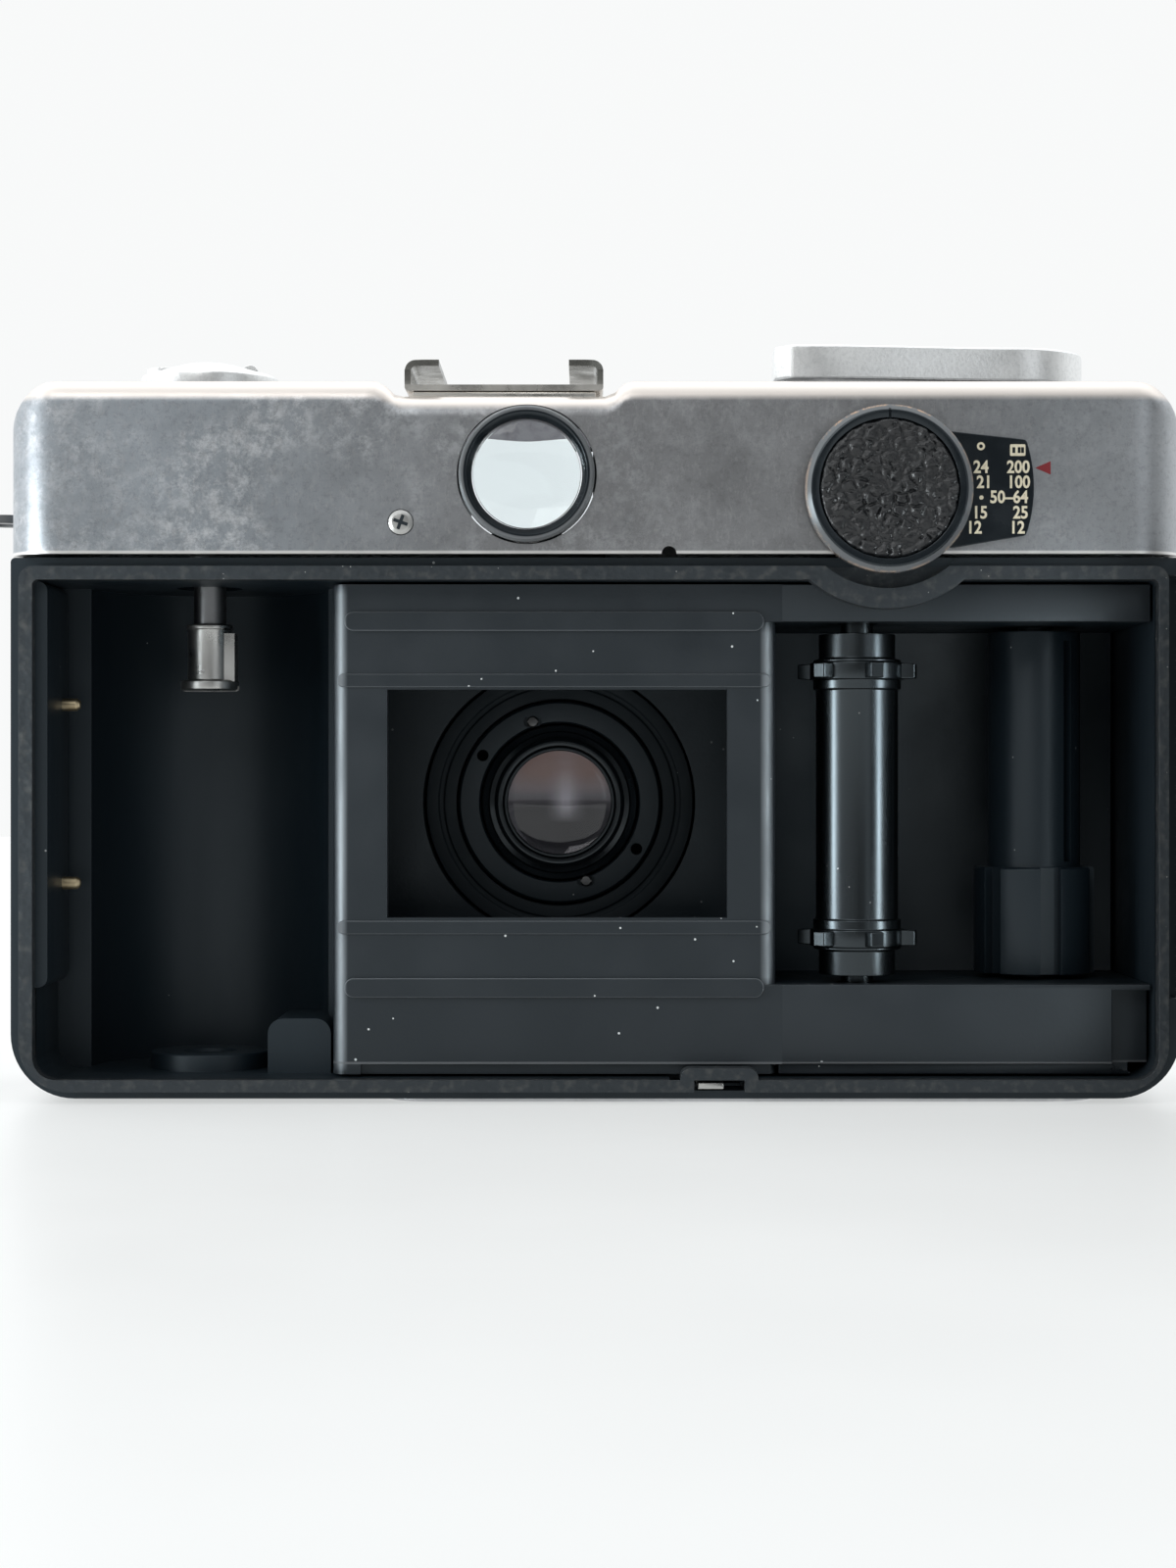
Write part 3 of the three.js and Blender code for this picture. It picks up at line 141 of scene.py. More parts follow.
def connect(tree, socket, value):
    """Gives an input a value, or another node's output to take it from."""
    if isinstance(value, bpy.types.NodeSocket):
        tree.links.new(value, socket)
    else:
        socket.default_value = value


def add_node(tree, kind, inputs=(), **settings):
    """A shader node with its settings and its inputs' values."""
    node = tree.nodes.new("ShaderNode" + kind)
    for name, value in settings.items():
        setattr(node, name, value)
    for name, value in dict(inputs).items():
        connect(tree, node.inputs[name], value)
    return node


class Kit:
    """The nodes of one material, with short ways to add the detail that every material needs."""

    def __init__(self, name, colour, rough, metal=0):
        self.material = bpy.data.materials.new(name)
        self.material.use_nodes = True
        self.tree = self.material.node_tree
        self.shader = self.tree.nodes["Principled BSDF"]
        self.colour_now = (*colour, 1)
        self.set("Base Color", self.colour_now)
        self.set("Roughness", rough)
        self.set("Metallic", metal)
        self.place = self.node("TexCoord").outputs["Object"]
        self.normal_now = None

    def node(self, kind, inputs=(), **settings):
        return add_node(self.tree, kind, inputs, **settings)

    def set(self, name, value):
        connect(self.tree, self.shader.inputs[name], value)

    def cold(self):
        """A bluish sheen, as black plastic and enamel have under a pale sky."""
        self.set("Specular Tint", (0.84, 0.94, 1, 1))

    def painted_glow(self, strength):
        """A faint painted glow of the piece's own colour, though the piece is no lamp."""
        self.set("Emission Color", self.colour_now)
        self.set("Emission Strength", strength)

    def noise(self, scale, detail=4, rough=0.55, stretch=None, distortion=0):
        """Noise whose scale is its number of features per metre."""
        place = self.place
        if stretch:
            place = self.node("Mapping", {"Vector": place, "Scale": stretch}).outputs[0]
        inputs = {"Vector": place, "Scale": scale, "Detail": detail}
        inputs |= {"Roughness": rough, "Distortion": distortion}
        return self.node("TexNoise", inputs).outputs["Fac"]

    def cells(self, scale, feature="F1", output="Distance"):
        node = self.node("TexVoronoi", {"Vector": self.place, "Scale": scale}, feature=feature)
        return node.outputs[output]

    def ramp(self, value, low, high, to_low=0.0, to_high=1.0):
        """Maps low and high to other values, and holds it between them."""
        inputs = {"Value": value, "From Min": low, "From Max": high, "To Min": to_low, "To Max": to_high}
        return self.node("MapRange", inputs).outputs[0]

    def math(self, operation, first, second=0):
        return self.node("Math", {0: first, 1: second}, operation=operation).outputs[0]

    def both(self, first, second):
        return self.math("MULTIPLY", first, second)

    def away(self, value, middle):
        """How far a value is from a middle one."""
        return self.math("ABSOLUTE", self.math("SUBTRACT", value, middle))

    def across(self, axis):
        """The place along X, Y or Z, in millimetres."""
        return self.math("MULTIPLY", self.node("SeparateXYZ", {0: self.place}).outputs[axis], 1000)

    def band(self, axis, middle, half):
        """1 within half of the place middle along an axis."""
        return self.ramp(self.away(self.across(axis), middle), half, half * 0.8)

    def from_axis(self, centre):
        """Distance in millimetres from a line that runs front to back."""
        x = self.math("SUBTRACT", self.across("X"), centre[0])
        z = self.math("SUBTRACT", self.across("Z"), centre[1])
        return self.math("SQRT", self.math("ADD", self.both(x, x), self.both(z, z)))

    def tint(self, amount, colour):
        """Blends the base colour towards another by a 0 to 1 value."""
        inputs = {"Factor": amount, "A": self.colour_now, "B": (*colour, 1)}
        self.colour_now = self.node("Mix", inputs, data_type="RGBA").outputs["Result"]
        self.set("Base Color", self.colour_now)

    def patch(self, value, low, high, amount, colour):
        """Blends in a colour from where a value is low to where it is high."""
        self.tint(self.ramp(value, low, high, 0, amount), colour)

    def roughness(self, value, low, high, start=0.3, end=0.7):
        self.set("Roughness", self.ramp(value, start, end, low, high))

    def bump(self, value, height):
        """Raises the surface by a value, up to a height in millimetres."""
        inputs = {"Strength": 1.0, "Distance": height * MM, "Height": value}
        if self.normal_now is not None:
            inputs["Normal"] = self.normal_now
        self.normal_now = self.node("Bump", inputs).outputs["Normal"]
        self.set("Normal", self.normal_now)

    def specks(self, per_metre, size, colour):
        """Scattered dust: a few of the cells each hold one small pale speck."""
        split = self.node("SeparateColor", {0: self.cells(per_metre, output="Color")})
        few = self.math("GREATER_THAN", split.outputs[0], 0.8)
        reach = self.ramp(split.outputs[1], 0, 1, size * 0.3, size)
        self.tint(self.both(few, self.math("LESS_THAN", self.cells(per_metre), reach)), colour)


def black_moulding(name="black_moulding", columns=()):
    """Satin black plastic, a little blue, with dust on it; painted highlights make it pale along upright columns and
    along rail and step edges, and painted shade darkens it deep inside.
    """
    kit = Kit(name, (0.0105, 0.0135, 0.0165), 0.4)
    kit.cold()
    kit.patch(kit.noise(60, 6), 0.45, 0.75, 0.5, (0.023, 0.026, 0.03))
    kit.specks(760, 0.1, (0.6, 0.62, 0.62))
    kit.specks(210, 0.035, (0.5, 0.5, 0.5))
    z = kit.across("Z")
    # painted highlight: a pale streak down each upright column's rounded edge
    for x, low, high in columns:
        line = kit.ramp(kit.away(kit.across("X"), x), 0.75, 0.1)
        length = kit.both(kit.ramp(z, low, low + 1), kit.ramp(z, high, high - 1))
        highlight_streaks = kit.ramp(kit.noise(300, 5, stretch=(1, 1, 0.3)), 0.3, 0.6, 0.6, 1)
        kit.tint(kit.both(kit.both(line, length), highlight_streaks), (0.2, 0.22, 0.235))
    # painted highlight: pale lines along the rails' edges, just proud of the film face
    for depth, half in ((0.34, 0.09), (0.125, 0.1)):
        kit.tint(kit.band("Y", GATE_Y - depth, half), (0.085, 0.093, 0.1))
    # painted highlight: a pale line along the bottom step's edge, on the face only
    at_face = kit.ramp(kit.across("Y"), GATE_Y - 0.4, GATE_Y - 0.3)
    kit.tint(kit.both(kit.band("Z", STEP_HIGH + 0.11, 0.13), at_face), (0.1, 0.105, 0.11))
    # painted shade: darker and bluer behind Y -10.4, deep inside
    kit.patch(kit.across("Y"), -11.4, -10.4, 0.85, (0.001, 0.0045, 0.0075))
    kit.roughness(kit.noise(120, 5), 0.33, 0.5)
    kit.bump(kit.noise(2600, 3, 0.6), 0.012)
    kit.bump(kit.noise(70, 2), 0.05)
    return kit.material


def crackle_black():
    """Black paint with a fine crackle, on the light-trap rim."""
    kit = Kit("crackle_black", (0.016, 0.019, 0.022), 0.5)
    kit.cold()
    kit.patch(kit.noise(900, 4), 0.5, 0.75, 1, (0.05, 0.05, 0.048))
    # painted highlight: a pale line round the rim's rear edge
    kit.tint(kit.band("Y", RIM_Y + 0.16, 0.11), (0.085, 0.09, 0.092))
    kit.specks(1300, 0.13, (0.22, 0.22, 0.21))
    kit.roughness(kit.noise(500), 0.35, 0.6)
    kit.bump(kit.cells(1500), 0.05)
    return kit.material


def deep_black():
    """The same plastic, coloured darker as painted shade for the parts deep inside, where it takes hardly any light.
    """
    kit = Kit("deep_black", (0.003, 0.0065, 0.0095), 0.62)
    kit.cold()
    kit.patch(kit.noise(90, 4), 0.5, 0.8, 0.6, (0.009, 0.0115, 0.013))
    kit.specks(420, 0.05, (0.25, 0.26, 0.26))
    kit.roughness(kit.noise(80), 0.55, 0.72)
    kit.bump(kit.noise(1800), 0.01)
    return kit.material


def casting_black():
    """The casting's plastic: bluish black, with painted shade that makes it darker deep in the take-up side than on
    its outer edges.
    """
    kit = Kit("casting_black", (0.0055, 0.0105, 0.015), 0.52)
    kit.cold()
    kit.patch(kit.noise(45, 5, stretch=(1, 1, 0.2)), 0.45, 0.72, 0.6, (0.011, 0.015, 0.019))
    # painted shade: darker deep in the take-up side, past X 20 and behind Y 8
    deep = kit.both(kit.ramp(kit.across("X"), 19, 20), kit.ramp(kit.across("Y"), 7.6, 8))
    kit.tint(deep, (0, 0.0015, 0.004))
    kit.specks(420, 0.06, (0.3, 0.31, 0.31))
    kit.roughness(kit.noise(110, 5, stretch=(1, 1, 0.2)), 0.34, 0.52)
    kit.bump(kit.noise(2600, 3, 0.6), 0.01)
    kit.bump(kit.noise(55, 2, stretch=(1, 1, 0.15)), 0.06)
    return kit.material


def gloss_enamel(name="gloss_enamel", centre=None, edge=0.0, chip=None):
    """Glossy black enamel with fine scratches; a ring of it has a painted highlight as a pale band at its edge, and
    is chipped to the metal.
    """
    kit = Kit(name, (0.006, 0.0085, 0.011), 0.16)
    kit.cold()
    kit.roughness(kit.noise(300, 6), 0.1, 0.3)
    kit.bump(kit.noise(1500, 6, 0.7, stretch=(1, 1, 0.15)), 0.006)
    kit.bump(kit.noise(160, 2), 0.03)
    if centre:
        # painted highlight: a pale grey band round the ring's outer edge
        kit.patch(kit.from_axis(centre), edge - 0.6, edge - 0.5, 1, (0.12, 0.125, 0.13))
        rim = kit.ramp(kit.from_axis(centre), edge - 0.25, edge - 0.1)
        chips = kit.ramp(kit.noise(620, 8, 0.75), 0.46, 0.54)
        upper = kit.ramp(kit.across("Z"), centre[1] + 5, centre[1] + 7, 0.35, 1)
        kit.tint(kit.both(kit.both(rim, chips), upper), chip)
    return kit.material


def black_chrome():
    """The sprocket's polished black finish, bright where it turns to the light."""
    kit = Kit("black_chrome", (0.055, 0.064, 0.069), 0.12, 1)
    kit.patch(kit.noise(200, 5, stretch=(1, 1, 0.1)), 0.45, 0.75, 0.5, (0.05, 0.06, 0.068))
    kit.specks(900, 0.1, (0.55, 0.55, 0.55))
    kit.roughness(kit.noise(260, 6, stretch=(1, 1, 0.12)), 0.21, 0.31)
    kit.bump(kit.noise(2400, 5, 0.6, stretch=(1, 1, 0.2)), 0.004)
    return kit.material


def cover_chrome():
    """The cover's chrome: dull and grey on its face, with pale bloom in clusters; painted highlights make it bright
    at its rounded ends, over its top edge and along its bottom edge.
    """
    kit = Kit("cover_chrome", (0.3, 0.303, 0.31), 0.34, 1)
    # painted highlight: paler towards the rounded ends
    end_highlight = kit.ramp(kit.away(kit.across("X"), 0), 47, 60)
    kit.tint(kit.both(end_highlight, end_highlight), (0.6, 0.6, 0.61))
    kit.patch(kit.noise(30, 6, 0.6), 0.45, 0.7, 0.5, (0.36, 0.365, 0.375))
    # painted reflection: paler and bluer towards the left, from X -10
    kit.patch(kit.across("X"), -10, -38, 0.85, (0.37, 0.405, 0.44))
    # paler towards the right, from X 32
    kit.patch(kit.across("X"), 32, 48, 0.8, (0.37, 0.39, 0.41))
    patches = kit.ramp(kit.noise(75, 3, 0.6), 0.4, 0.56)
    spots = kit.ramp(kit.noise(620, 9, 0.8), 0.46, 0.6)
    leftward = kit.ramp(kit.away(kit.across("X"), -38), 46, 14, 0.18, 1)
    kit.tint(kit.both(kit.both(patches, spots), leftward), (0.62, 0.64, 0.66))
    kit.patch(kit.noise(1900, 5, 0.8), 0.5, 0.64, 0.35, (0.18, 0.185, 0.19))
    kit.patch(kit.noise(2200, 5, 0.8, stretch=(1, 1, 0.4)), 0.52, 0.64, 0.4, (0.47, 0.47, 0.48))
    # painted reflection: a warm pale band over the top edge's fillet, following the shoe's dip; the flat top above
    # it is set back to grey
    dip = kit.ramp(kit.away(kit.across("X"), SHOE_X), 13.2, 10.8, 0, 1)
    kit.patch(kit.math("ADD", kit.across("Z"), dip), 72.95, 73.6, 1, (0.8, 0.74, 0.69))
    kit.patch(kit.across("Z"), COVER_TOP - 0.12, COVER_TOP - 0.02, 1, (0.42, 0.42, 0.425))
    # painted highlight: a pale line along the cover's bottom edge
    kit.patch(kit.across("Z"), 57.42, 57.3, 1, (0.85, 0.84, 0.82))
    kit.roughness(kit.noise(90, 8, 0.7), 0.31, 0.43)
    kit.bump(kit.noise(2600, 4, 0.7, stretch=(1, 1, 0.5)), 0.008)
    kit.bump(kit.noise(60, 2), 0.03)
    return kit.material


def satin_chrome():
    """Satin chrome: a very fine grain, cloudy tarnish, and pale bloom in soft patches."""
    kit = Kit("satin_chrome", (0.56, 0.57, 0.585), 0.34, 1)
    kit.patch(kit.noise(28, 7, 0.62, distortion=0.6), 0.42, 0.72, 0.75, (0.74, 0.75, 0.77))
    kit.patch(kit.noise(110, 8, 0.7, distortion=1.2), 0.6, 0.72, 0.55, (0.86, 0.86, 0.84))
    kit.patch(kit.noise(600, 4), 0.6, 0.8, 0.35, (0.36, 0.36, 0.36))
    kit.roughness(kit.noise(55, 8, 0.7), 0.28, 0.5)
    kit.bump(kit.noise(5200, 3, 0.7, stretch=(0.25, 1, 1)), 0.006)
    kit.bump(kit.noise(60, 2), 0.04)
    return kit.material


def sand_blasted():
    """The lever's pale blasted chrome."""
    kit = Kit("sand_blasted", (0.93, 0.935, 0.925), 0.36, 1)
    kit.patch(kit.noise(150, 6), 0.5, 0.8, 0.3, (0.72, 0.71, 0.69))
    kit.patch(kit.noise(2600, 3, 0.8), 0.48, 0.64, 0.25, (0.5, 0.51, 0.51))
    kit.roughness(kit.noise(200, 6), 0.28, 0.46)
    kit.bump(kit.noise(2600, 4, 0.6), 0.03)
    return kit.material


def worn_nickel():
    kit = Kit("worn_nickel", (0.5, 0.5, 0.485), 0.3, 1)
    kit.patch(kit.noise(260, 7, 0.65), 0.62, 0.8, 0.5, (0.27, 0.26, 0.24))
    kit.roughness(kit.noise(240, 7), 0.2, 0.48)
    kit.bump(kit.noise(2600, 5, 0.6, stretch=(1, 0.1, 1)), 0.008)
    return kit.material


def shoe_nickel():
    """Thin nickel on the shoe, with painted shade on its walls and lips and a painted highlight on and under the
    floor of its channel.
    """
    kit = Kit("shoe_nickel", (0.38, 0.37, 0.345), 0.24, 1)
    kit.patch(kit.noise(190, 6, 0.65), 0.5, 0.75, 0.6, (0.13, 0.125, 0.11))
    # painted shade: darker above the channel floor, on the walls and lips
    kit.patch(kit.across("Z"), SHOE_FLOOR + 0.8, SHOE_FLOOR + 1.2, 0.8, (0.21, 0.21, 0.19))
    # painted highlight: paler at the channel floor and below
    kit.patch(kit.across("Z"), SHOE_FLOOR + 0.75, SHOE_FLOOR + 0.6, 0.9, (0.66, 0.64, 0.6))
    kit.patch(kit.noise(1500, 5, 0.75), 0.58, 0.66, 0.6, (0.55, 0.54, 0.5))
    kit.roughness(kit.noise(240, 7), 0.16, 0.4)
    kit.bump(kit.noise(1800, 4, 0.6), 0.012)
    return kit.material


def dark_steel():
    kit = Kit("dark_steel", (0.17, 0.175, 0.18), 0.4, 1)
    kit.patch(kit.noise(300, 6), 0.5, 0.75, 0.6, (0.06, 0.055, 0.05))
    kit.roughness(kit.noise(200), 0.3, 0.55)
    kit.bump(kit.noise(1800), 0.01)
    return kit.material


def old_brass():
    kit = Kit("old_brass", (0.62, 0.52, 0.34), 0.32, 1)
    kit.patch(kit.noise(500, 6), 0.5, 0.75, 0.7, (0.3, 0.22, 0.12))
    kit.roughness(kit.noise(300), 0.25, 0.5)
    kit.bump(kit.noise(2500), 0.008)
    return kit.material


def leatherette():
    """Black leatherette with an uneven pebbled grain."""
    kit = Kit("leatherette", (0.011, 0.012, 0.0135), 0.3)
    kit.patch(kit.noise(700, 3), 0.55, 0.8, 0.5, (0.028, 0.029, 0.03))
    kit.roughness(kit.noise(900), 0.18, 0.36)
    kit.bump(kit.cells(1100, "SMOOTH_F1"), 0.14)
    kit.bump(kit.noise(3500, 4), 0.03)
    return kit.material


def clear_glass(name, tint, rough=0.01):
    """Clear glass, with only the faintest dust."""
    kit = Kit(name, tint, rough)
    kit.set("Transmission Weight", 1)
    kit.set("IOR", 1.5)
    kit.roughness(kit.noise(200, 6), rough, rough + 0.03, 0.5, 0.8)
    kit.bump(kit.noise(40, 1), 0.01)
    return kit.material


def blade_steel():
    """The shutter blades, seen through the rear glass, with painted reflections: warm above, with a pale upright
    streak below, and a painted glow.
    """
    kit = Kit("blade_steel", (0.008, 0.01, 0.014), 0.5)
    near = kit.ramp(kit.away(kit.across("X"), LENS[0] + 0.5), 2.2, 0.3)
    lower = kit.ramp(kit.across("Z"), LENS[1] + 3.2, LENS[1] - 1.5, 0.1, 1)
    foot = kit.ramp(kit.across("Z"), LENS[1] - 2, LENS[1] + 0.2)
    warm = kit.ramp(kit.across("Z"), LENS[1] + 0.6, LENS[1] + 2.6, 0, 0.85)
    # painted reflections: grey turning warm above the middle, and a pale upright streak below it
    kit.patch(kit.across("Z"), LENS[1] - 0.8, LENS[1] + 1.4, 0.85, (0.3, 0.295, 0.3))
    kit.tint(warm, (0.34, 0.2, 0.14))
    streak = kit.both(kit.both(near, near), kit.both(lower, foot))
    kit.tint(streak, (0.9, 0.91, 0.94))
    kit.painted_glow(0.17)
    kit.roughness(kit.noise(200), 0.4, 0.6)
    kit.bump(kit.noise(1800), 0.01)
    return kit.material


def finder_grey():
    """The grey frame inside the finder, mottled, with a painted glow that stands for light coming in through the
    finder.
    """
    kit = Kit("finder_grey", (0.2, 0.195, 0.22), 0.7)
    kit.patch(kit.noise(700, 6, 0.7), 0.45, 0.7, 1, (0.1, 0.095, 0.11))
    # painted light: a glow that stands for the light seen through the finder
    kit.painted_glow(0.75)
    kit.roughness(kit.noise(500), 0.6, 0.8)
    kit.bump(kit.noise(1500), 0.01)
    return kit.material


def cream_ink():
    kit = Kit("cream_ink", (0.72, 0.66, 0.5), 0.6)
    kit.patch(kit.noise(3000, 4), 0.45, 0.75, 0.6, (0.5, 0.44, 0.3))
    kit.roughness(kit.noise(1500), 0.5, 0.7)
    kit.bump(kit.noise(3000), 0.004)
    return kit.material


def red_ink():
    kit = Kit("red_ink", (0.2, 0.01, 0.016), 0.5)
    kit.patch(kit.noise(2500, 4), 0.5, 0.8, 0.5, (0.25, 0.01, 0.02))
    kit.roughness(kit.noise(1500), 0.4, 0.6)
    kit.bump(kit.noise(3000), 0.004)
    return kit.material


# ---- Mesh tools --------------------------------------------------------------------------------


def soften(points, radius, steps=3, closed=False):
    """A polyline with each sharp corner swapped for a small arc."""
    count = len(points)
    result = []
    for i, here in enumerate(points):
        if not closed and i in (0, count - 1):
            result.append(Vector(here))
            continue
        p, a, b = Vector(here), Vector(points[i - 1]), Vector(points[(i + 1) % count])
        back, on = a - p, b - p
        bend = back.angle(on, math.pi)
        if bend > math.radians(165) or radius <= 0:
            result.append(p)
            continue
        reach = min(radius / math.tan(bend / 2), back.length * 0.45, on.length * 0.45)
        start, end = p + back.normalized() * reach, p + on.normalized() * reach
        for k in range(steps + 1):
            t = k / steps
            result.append(start * (1 - t) ** 2 + p * 2 * t * (1 - t) + end * t * t)
    return result


def arc(x, y, r, start, end, steps):
    """Points of an arc, with its angles in degrees."""
    turns = [math.radians(start + (end - start) * k / steps) for k in range(steps + 1)]
    return [(x + r * math.cos(t), y + r * math.sin(t)) for t in turns]


def rounded_box(x0, x1, y0, y1, low_r, high_r=None, steps=10):
    high_r = low_r if high_r is None else high_r
    return (
        arc(x0 + low_r, y0 + low_r, low_r, 180, 270, steps)
        + arc(x1 - low_r, y0 + low_r, low_r, 270, 360, steps)
        + arc(x1 - high_r, y1 - high_r, high_r, 0, 90, steps)
        + arc(x0 + high_r, y1 - high_r, high_r, 90, 180, steps)
    )


AXES = {
    "Z": lambda u, v, h: (u, v, h),
    "Y": lambda u, v, h: (u, h, v),
    "X": lambda u, v, h: (h, u, v),
}


def linked(name, data):
    """An object in the scene with the given mesh, curve, camera or light."""
    made = bpy.data.objects.new(name, data)
    bpy.context.scene.collection.objects.link(made)
    return made


def new_object(name, vertices, faces):
    mesh = bpy.data.meshes.new(name)
    mesh.from_pydata([Vector(v) * MM for v in vertices], [], faces)
    shape = bmesh.new()
    shape.from_mesh(mesh)
    bmesh.ops.remove_doubles(shape, verts=shape.verts, dist=1e-7)
    bmesh.ops.recalc_face_normals(shape, faces=shape.faces)
    shape.to_mesh(mesh)
    shape.free()
    return linked(name, mesh)


def turn(name, profile, centre=(0, 0), axis="Z", segments=96, soft=0.1):
    """A turned piece from (radius, height) points that end on the axis, or that close on themselves."""
    closed = tuple(profile[0]) == tuple(profile[-1]) and profile[0][0] > 0
    outline = soften(profile[:-1] if closed else profile, soft, closed=closed)
    to_3d = AXES[axis]
    vertices, faces = [], []
    for r, h in outline:
        for k in range(segments):
            angle = 2 * math.pi * k / segments
            vertices.append(to_3d(centre[0] + r * math.cos(angle), centre[1] + r * math.sin(angle), h))
    rows = len(outline)
    for i in range(rows if closed else rows - 1):
        j = (i + 1) % rows
        for k in range(segments):
            n = (k + 1) % segments
            corners = [i * segments + k, i * segments + n, j * segments + n, j * segments + k]
            if outline[i][0] < 1e-6:
                corners = [i * segments, j * segments + n, j * segments + k]
            elif outline[j][0] < 1e-6:
                corners = [i * segments + k, i * segments + n, j * segments]
            faces.append(corners)
    made = new_object(name, vertices, faces)
    drop_loose(made)
    return made


def drop_loose(made):
    shape = bmesh.new()
    shape.from_mesh(made.data)
    bmesh.ops.delete(shape, geom=[v for v in shape.verts if not v.link_faces], context="VERTS")
    shape.to_mesh(made.data)
    shape.free()


def slab(name, outline, low, high, axis="Z"):
    """An outline given a thickness along an axis."""
    to_3d = AXES[axis]
    count = len(outline)
    vertices = [to_3d(u, v, low) for u, v in outline] + [to_3d(u, v, high) for u, v in outline]
    faces = [tuple(range(count)), tuple(range(2 * count - 1, count - 1, -1))]
    faces += [(i, (i + 1) % count, count + (i + 1) % count, count + i) for i in range(count)]
    return new_object(name, vertices, faces)


def block(name, x0, x1, y0, y1, z0, z1):
    return slab(name, [(x0, y0), (x1, y0), (x1, y1), (x0, y1)], z0, z1)


def bake(made):
    """Settles the modifiers into the mesh."""
    graph = bpy.context.evaluated_depsgraph_get()
    mesh = bpy.data.meshes.new_from_object(made.evaluated_get(graph))
    made.modifiers.clear()
    made.data = mesh
    return made


def combine(made, others, operation):
    """Cuts the others from a piece, or joins them to it, and removes them."""
    for other in others:
        step = made.modifiers.new("combine", "BOOLEAN")
        step.operation = operation
        step.solver = "EXACT"
        step.object = other
        bake(made)
        bpy.data.objects.remove(other)
    return made


def cut(made, *cutters):
    return combine(made, cutters, "DIFFERENCE")


def join(made, *others):
    return combine(made, others, "UNION")


def trim(made, *others):
    return combine(made, others, "INTERSECT")


def soft_edges(made, width=0.12, angle=32, segments=2):
    """A small round on every edge sharper than the angle, with smooth faces between."""
    step = made.modifiers.new("soft_edges", "BEVEL")
    step.width = width * MM
    step.segments = segments
    step.limit_method = "ANGLE"
    step.angle_limit = math.radians(angle)
    step.harden_normals = True
    step.use_clamp_overlap = True
    return smooth(made)


def smooth(made, angle=32):
    made.data.polygons.foreach_set("use_smooth", [True] * len(made.data.polygons))
    made.data.set_sharp_from_angle(angle=math.radians(angle))
    return made


def put(made, material, body, replaces=()):
    """Gives a piece its material and body, and hides the CAD nodes that it stands for."""
    made.data.materials.clear()
    made.data.materials.append(material)
    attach(made, body)
    if replaces:
        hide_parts(*replaces)
    return made


def stand_for(made, material, node):
    """A finer piece in place of one CAD node."""
    return put(made, material, node_body[node], replaces=(node,))


def turned(node, profile, centre, material, axis="Z", segments=96, soft=0.1):
    """A turned piece in place of one CAD node."""
    return stand_for(smooth(turn(node, profile, centre, axis, segments, soft)), material, node)


def keep(node, material, width=0.1):
    """A CAD node that stays as it is, with softened edges and its own material."""
    made = frame["nodes"][node]
    weld = made.modifiers.new("weld", "WELD")
    weld.merge_threshold = 1e-6
    flat = made.modifiers.new("flat_faces", "DECIMATE")
    flat.decimate_type = "DISSOLVE"
    flat.angle_limit = math.radians(0.5)
    soft_edges(made, width, angle=34)
    made.data.materials.clear()
    made.data.materials.append(material)
    return made


def text_mesh(name, text, size, bold, resolution):
    """Thin raised characters centred at the origin, facing up; bold is how far their outline is widened."""
    curve = bpy.data.curves.new(name, "FONT")
    curve.body = text
    curve.size = size * MM
    curve.extrude = 0.03 * MM
    curve.offset = bold * MM
    curve.align_x, curve.align_y = "CENTER", "CENTER"
    curve.resolution_u = resolution
    made = linked(name, curve)
    graph = bpy.context.evaluated_depsgraph_get()
    graph.update()
    mesh = bpy.data.meshes.new_from_object(made.evaluated_get(graph))
    bpy.data.objects.remove(made)
    return mesh


def moved(mesh, turns, place):
    """A mesh turned about axes through the origin, each by its degrees, then moved."""
    for axis, angle in turns:
        mesh.transform(Matrix.Rotation(math.radians(angle), 4, axis))
    mesh.transform(Matrix.Translation(Vector(place) * MM))
    return mesh


def lettering(name, text, place, material, body):
    """Bold, narrow raised characters that face the back, centred on a place."""
    mesh = text_mesh(name, text, 1.8, 0.045, 3)
    mesh.transform(Matrix.Diagonal((0.88, 1, 1, 1)))
    return put(linked(name, moved(mesh, (("X", 90),), place)), material, body)


def disc(name, centre, radius, low, high, axis="Y", segments=96):
    return slab(name, arc(*centre, radius, 0, 360 * (1 - 1 / segments), segments - 1), low, high, axis)


# ---- Shared places -----------------------------------------------------------------------------

BODY_SIDE = 61.0
BAND_Y = -14.5
RIM_Y = -16.5
STEP_HIGH = 3.87
BODY_FRONT = 16
CAVITY = (-58.4, 58.4, 2.5, 54.4)
LENS = (-4.02, 31.14)
LENS_MOUNT = 16.1
GATE_Y = -13.2
GATE = (-21.82, 13.78, 19.19, 43.09)
EYE = (-7.15, 65.3)
DIAL = (30.2, 63.6)
DIAL_RECESS = 10.1
DIAL_BOW = 12.2
COVER_BACK = -16.6
COVER_SCREW = (-20.2, 60.3)
COVER_TOP = 75.2
COVER_LOW = 57.06
CORNER_STEPS = 14
SHOE_X = -9.6
SHOE_FLOOR = 74.35
FORK = (-41.9, -1.5)
LEVER = (45.0, 0.0)
BUTTON = (19.5, 9.0)
COUNTER = (31.0, 9.5)
SPROCKET = (27.8, -8.5)
SPOOL = (47.9, 0.0)
BUSH = (8.0, 0.0)
RELEASE = (36.0, 5.0)
HINGE = (62.4, -15.8)
METER_X = 29


# ---- Body --------------------------------------------------------------------------------------


